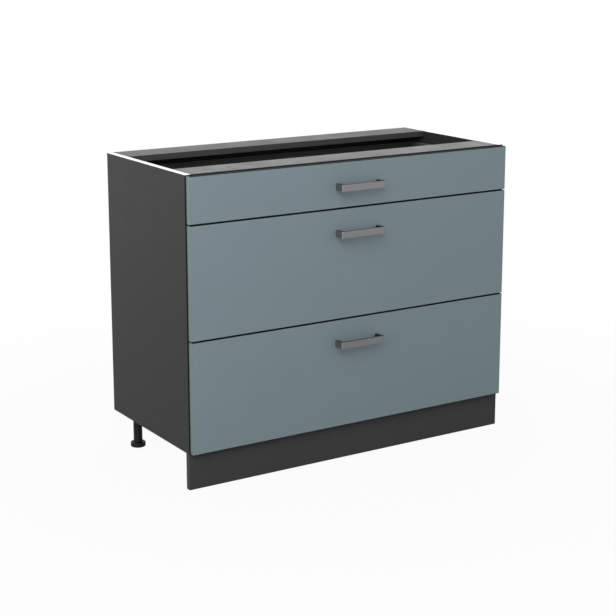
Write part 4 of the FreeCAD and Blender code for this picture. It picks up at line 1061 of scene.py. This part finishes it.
# %% Front buffers
bm = bmesh.new()
for box in solids_of("front_buffers"):
    spot, depth = middle(box), box[1].y - box[0].y
    turn(bm, [(0, 0), (4 * MM, 0), (4 * MM, depth * 0.35), (3.5 * MM, depth * 0.75), (2.3 * MM, depth * 0.96),
              (0, depth)], (spot.x, box[1].y, spot.z), "-Y", 32)
finish_piece("closing_pads", bm, [clear_pad], "root", ["front_buffers"])
print("closing pads:", len(solids_of("front_buffers")))

# %% [markdown]
# ## Floor
# The photograph shows the cabinet cut out on white. So the floor turns white for camera and mirror rays, and
# stays a plain grey for the light that bounces off it. Near the cabinet it keeps some of its lit colour, so
# a shadow still shows, and the side board reflects less white the lower one looks. A white plane with a lamp
# on it could be used instead, but then it would brighten the boards from below.

# %% Floor
FLOOR_REACH = 6
floor_mesh = bpy.data.meshes.new("studio_floor")
bm = bmesh.new()
add_box(bm, (-FLOOR_REACH, -FLOOR_REACH, -0.02), (FLOOR_REACH, FLOOR_REACH, 0), 0.002)
bm.to_mesh(floor_mesh)
bm.free()
studio_floor = bpy.data.objects.new("studio_floor", floor_mesh)
bpy.context.scene.collection.objects.link(studio_floor)

floor_finish = bpy.data.materials.new("pale_floor")
floor_finish.use_nodes = True
tree = floor_finish.node_tree
lit = tree.nodes["Principled BSDF"]
lit.inputs["Base Color"].default_value = (0.3, 0.3, 0.3, 1)
lit.inputs["Roughness"].default_value = 0.9
rays = tree.nodes.new("ShaderNodeLightPath")
distance = tree.nodes.new("ShaderNodeVectorMath")
distance.operation = "LENGTH"
tree.links.new(tree.nodes.new("ShaderNodeTexCoord").outputs["Object"], distance.inputs[0])


def joined(tree, operation, first, second):
    """One number made from two outputs."""
    node = tree.nodes.new("ShaderNodeMath")
    node.operation = operation
    tree.links.new(first, node.inputs[0])
    tree.links.new(second, node.inputs[1])
    return node.outputs["Value"]


SEEN_DISTANCES, SEEN_SHARES = (0.6, 1.8), (0.95, 1)
MIRRORED_DISTANCES, MIRRORED_SHARES = (0.7, 4.2), (0.36, 0.92)
mirrored = joined(tree, "MAXIMUM", rays.outputs["Is Glossy Ray"], rays.outputs["Is Transmission Ray"])
seen_share = joined(tree, "MULTIPLY", rays.outputs["Is Camera Ray"],
                    remapped(tree, distance.outputs["Value"], SEEN_DISTANCES, SEEN_SHARES))
mirrored_share = joined(tree, "MULTIPLY", mirrored,
                        remapped(tree, distance.outputs["Value"], MIRRORED_DISTANCES, MIRRORED_SHARES))
white = tree.nodes.new("ShaderNodeEmission")
white.inputs["Color"].default_value = (1, 1, 1, 1)
white.inputs["Strength"].default_value = 1
mixed = tree.nodes.new("ShaderNodeMixShader")
tree.links.new(joined(tree, "MAXIMUM", seen_share, mirrored_share), mixed.inputs["Fac"])
tree.links.new(lit.outputs["BSDF"], mixed.inputs[1])
tree.links.new(white.outputs["Emission"], mixed.inputs[2])
tree.links.new(mixed.outputs["Shader"], tree.nodes["Material Output"].inputs["Surface"])
floor_mesh.materials.append(floor_finish)
print("floor is", 2 * FLOOR_REACH, "m square")

# %% [markdown]
# ## World
# The world is the sky all round. It is soft and grey where it lights the cabinet, and white where the camera
# or a reflection sees it, as the cut-out picture is. A picture of a studio could light it too, but a plain
# colour keeps the scene free of files.

# %% World
world = bpy.data.worlds.new("studio_world")
bpy.context.scene.world = world
world.use_nodes = True
tree = world.node_tree
sky = tree.nodes["Background"]
sky.inputs["Color"].default_value = (0.95, 0.97, 1, 1)
sky.inputs["Strength"].default_value = 0.5
backdrop = tree.nodes.new("ShaderNodeBackground")
backdrop.inputs["Color"].default_value = (1, 1, 1, 1)
backdrop.inputs["Strength"].default_value = 1
rays = tree.nodes.new("ShaderNodeLightPath")
camera_or_gloss = joined(tree, "MAXIMUM", rays.outputs["Is Camera Ray"], rays.outputs["Is Glossy Ray"])
choose = tree.nodes.new("ShaderNodeMixShader")
tree.links.new(joined(tree, "MAXIMUM", camera_or_gloss, rays.outputs["Is Transmission Ray"]), choose.inputs["Fac"])
tree.links.new(sky.outputs["Background"], choose.inputs[1])
tree.links.new(backdrop.outputs["Background"], choose.inputs[2])
tree.links.new(choose.outputs["Shader"], tree.nodes["World Output"].inputs["Surface"])
print("world strength", sky.inputs["Strength"].default_value)

# %% [markdown]
# ## Lamps
# Six large soft lamps do the rest, because small ones would leave hard shadows that the photograph lacks. The
# key lamp lights the fronts, the left and edge lamps give the side board and the handles their shine, the
# fill lamp opens the right, the top lamp brightens the two top boards, and the back lamp keeps the rear from
# going black. Their strengths were set by comparing colours with the photograph, one surface at a time.

# %% Lamps
def lamp(name, place, aim, size, watts):
    """A square soft lamp that points at a place."""
    data = bpy.data.lights.new(name, "AREA")
    data.size, data.energy = size, watts
    holder = bpy.data.objects.new(name, data)
    holder.location = place
    holder.visible_camera = False
    holder.rotation_euler = (Vector(aim) - Vector(place)).to_track_quat("-Z", "Y").to_euler()
    bpy.context.scene.collection.objects.link(holder)


lamp("key_lamp", (-1.5, -2.2, 2.55), (0, 0, 0.6), 1.8, 42.5)
lamp("left_lamp", (-2.0, -0.6, 1.9), (-0.5, 0, 0.7), 0.8, 9)
lamp("edge_lamp", (-3.0, -1.5, 0.95), (0, -0.25, 0.6), 0.9, 17)
lamp("fill_lamp", (2.8, -3.0, 1.8), (0, 0, 0.6), 2.5, 14)
lamp("top_lamp", (0, 0.6, 3.0), (0, 0, 0.5), 2.0, 30)
lamp("back_lamp", (2.3, 3.6, 1.9), (0, 0, 0.8), 2.4, 3.6)
bpy.context.scene.view_settings.view_transform = "Standard"
print("lamps set:", len(bpy.data.lights))
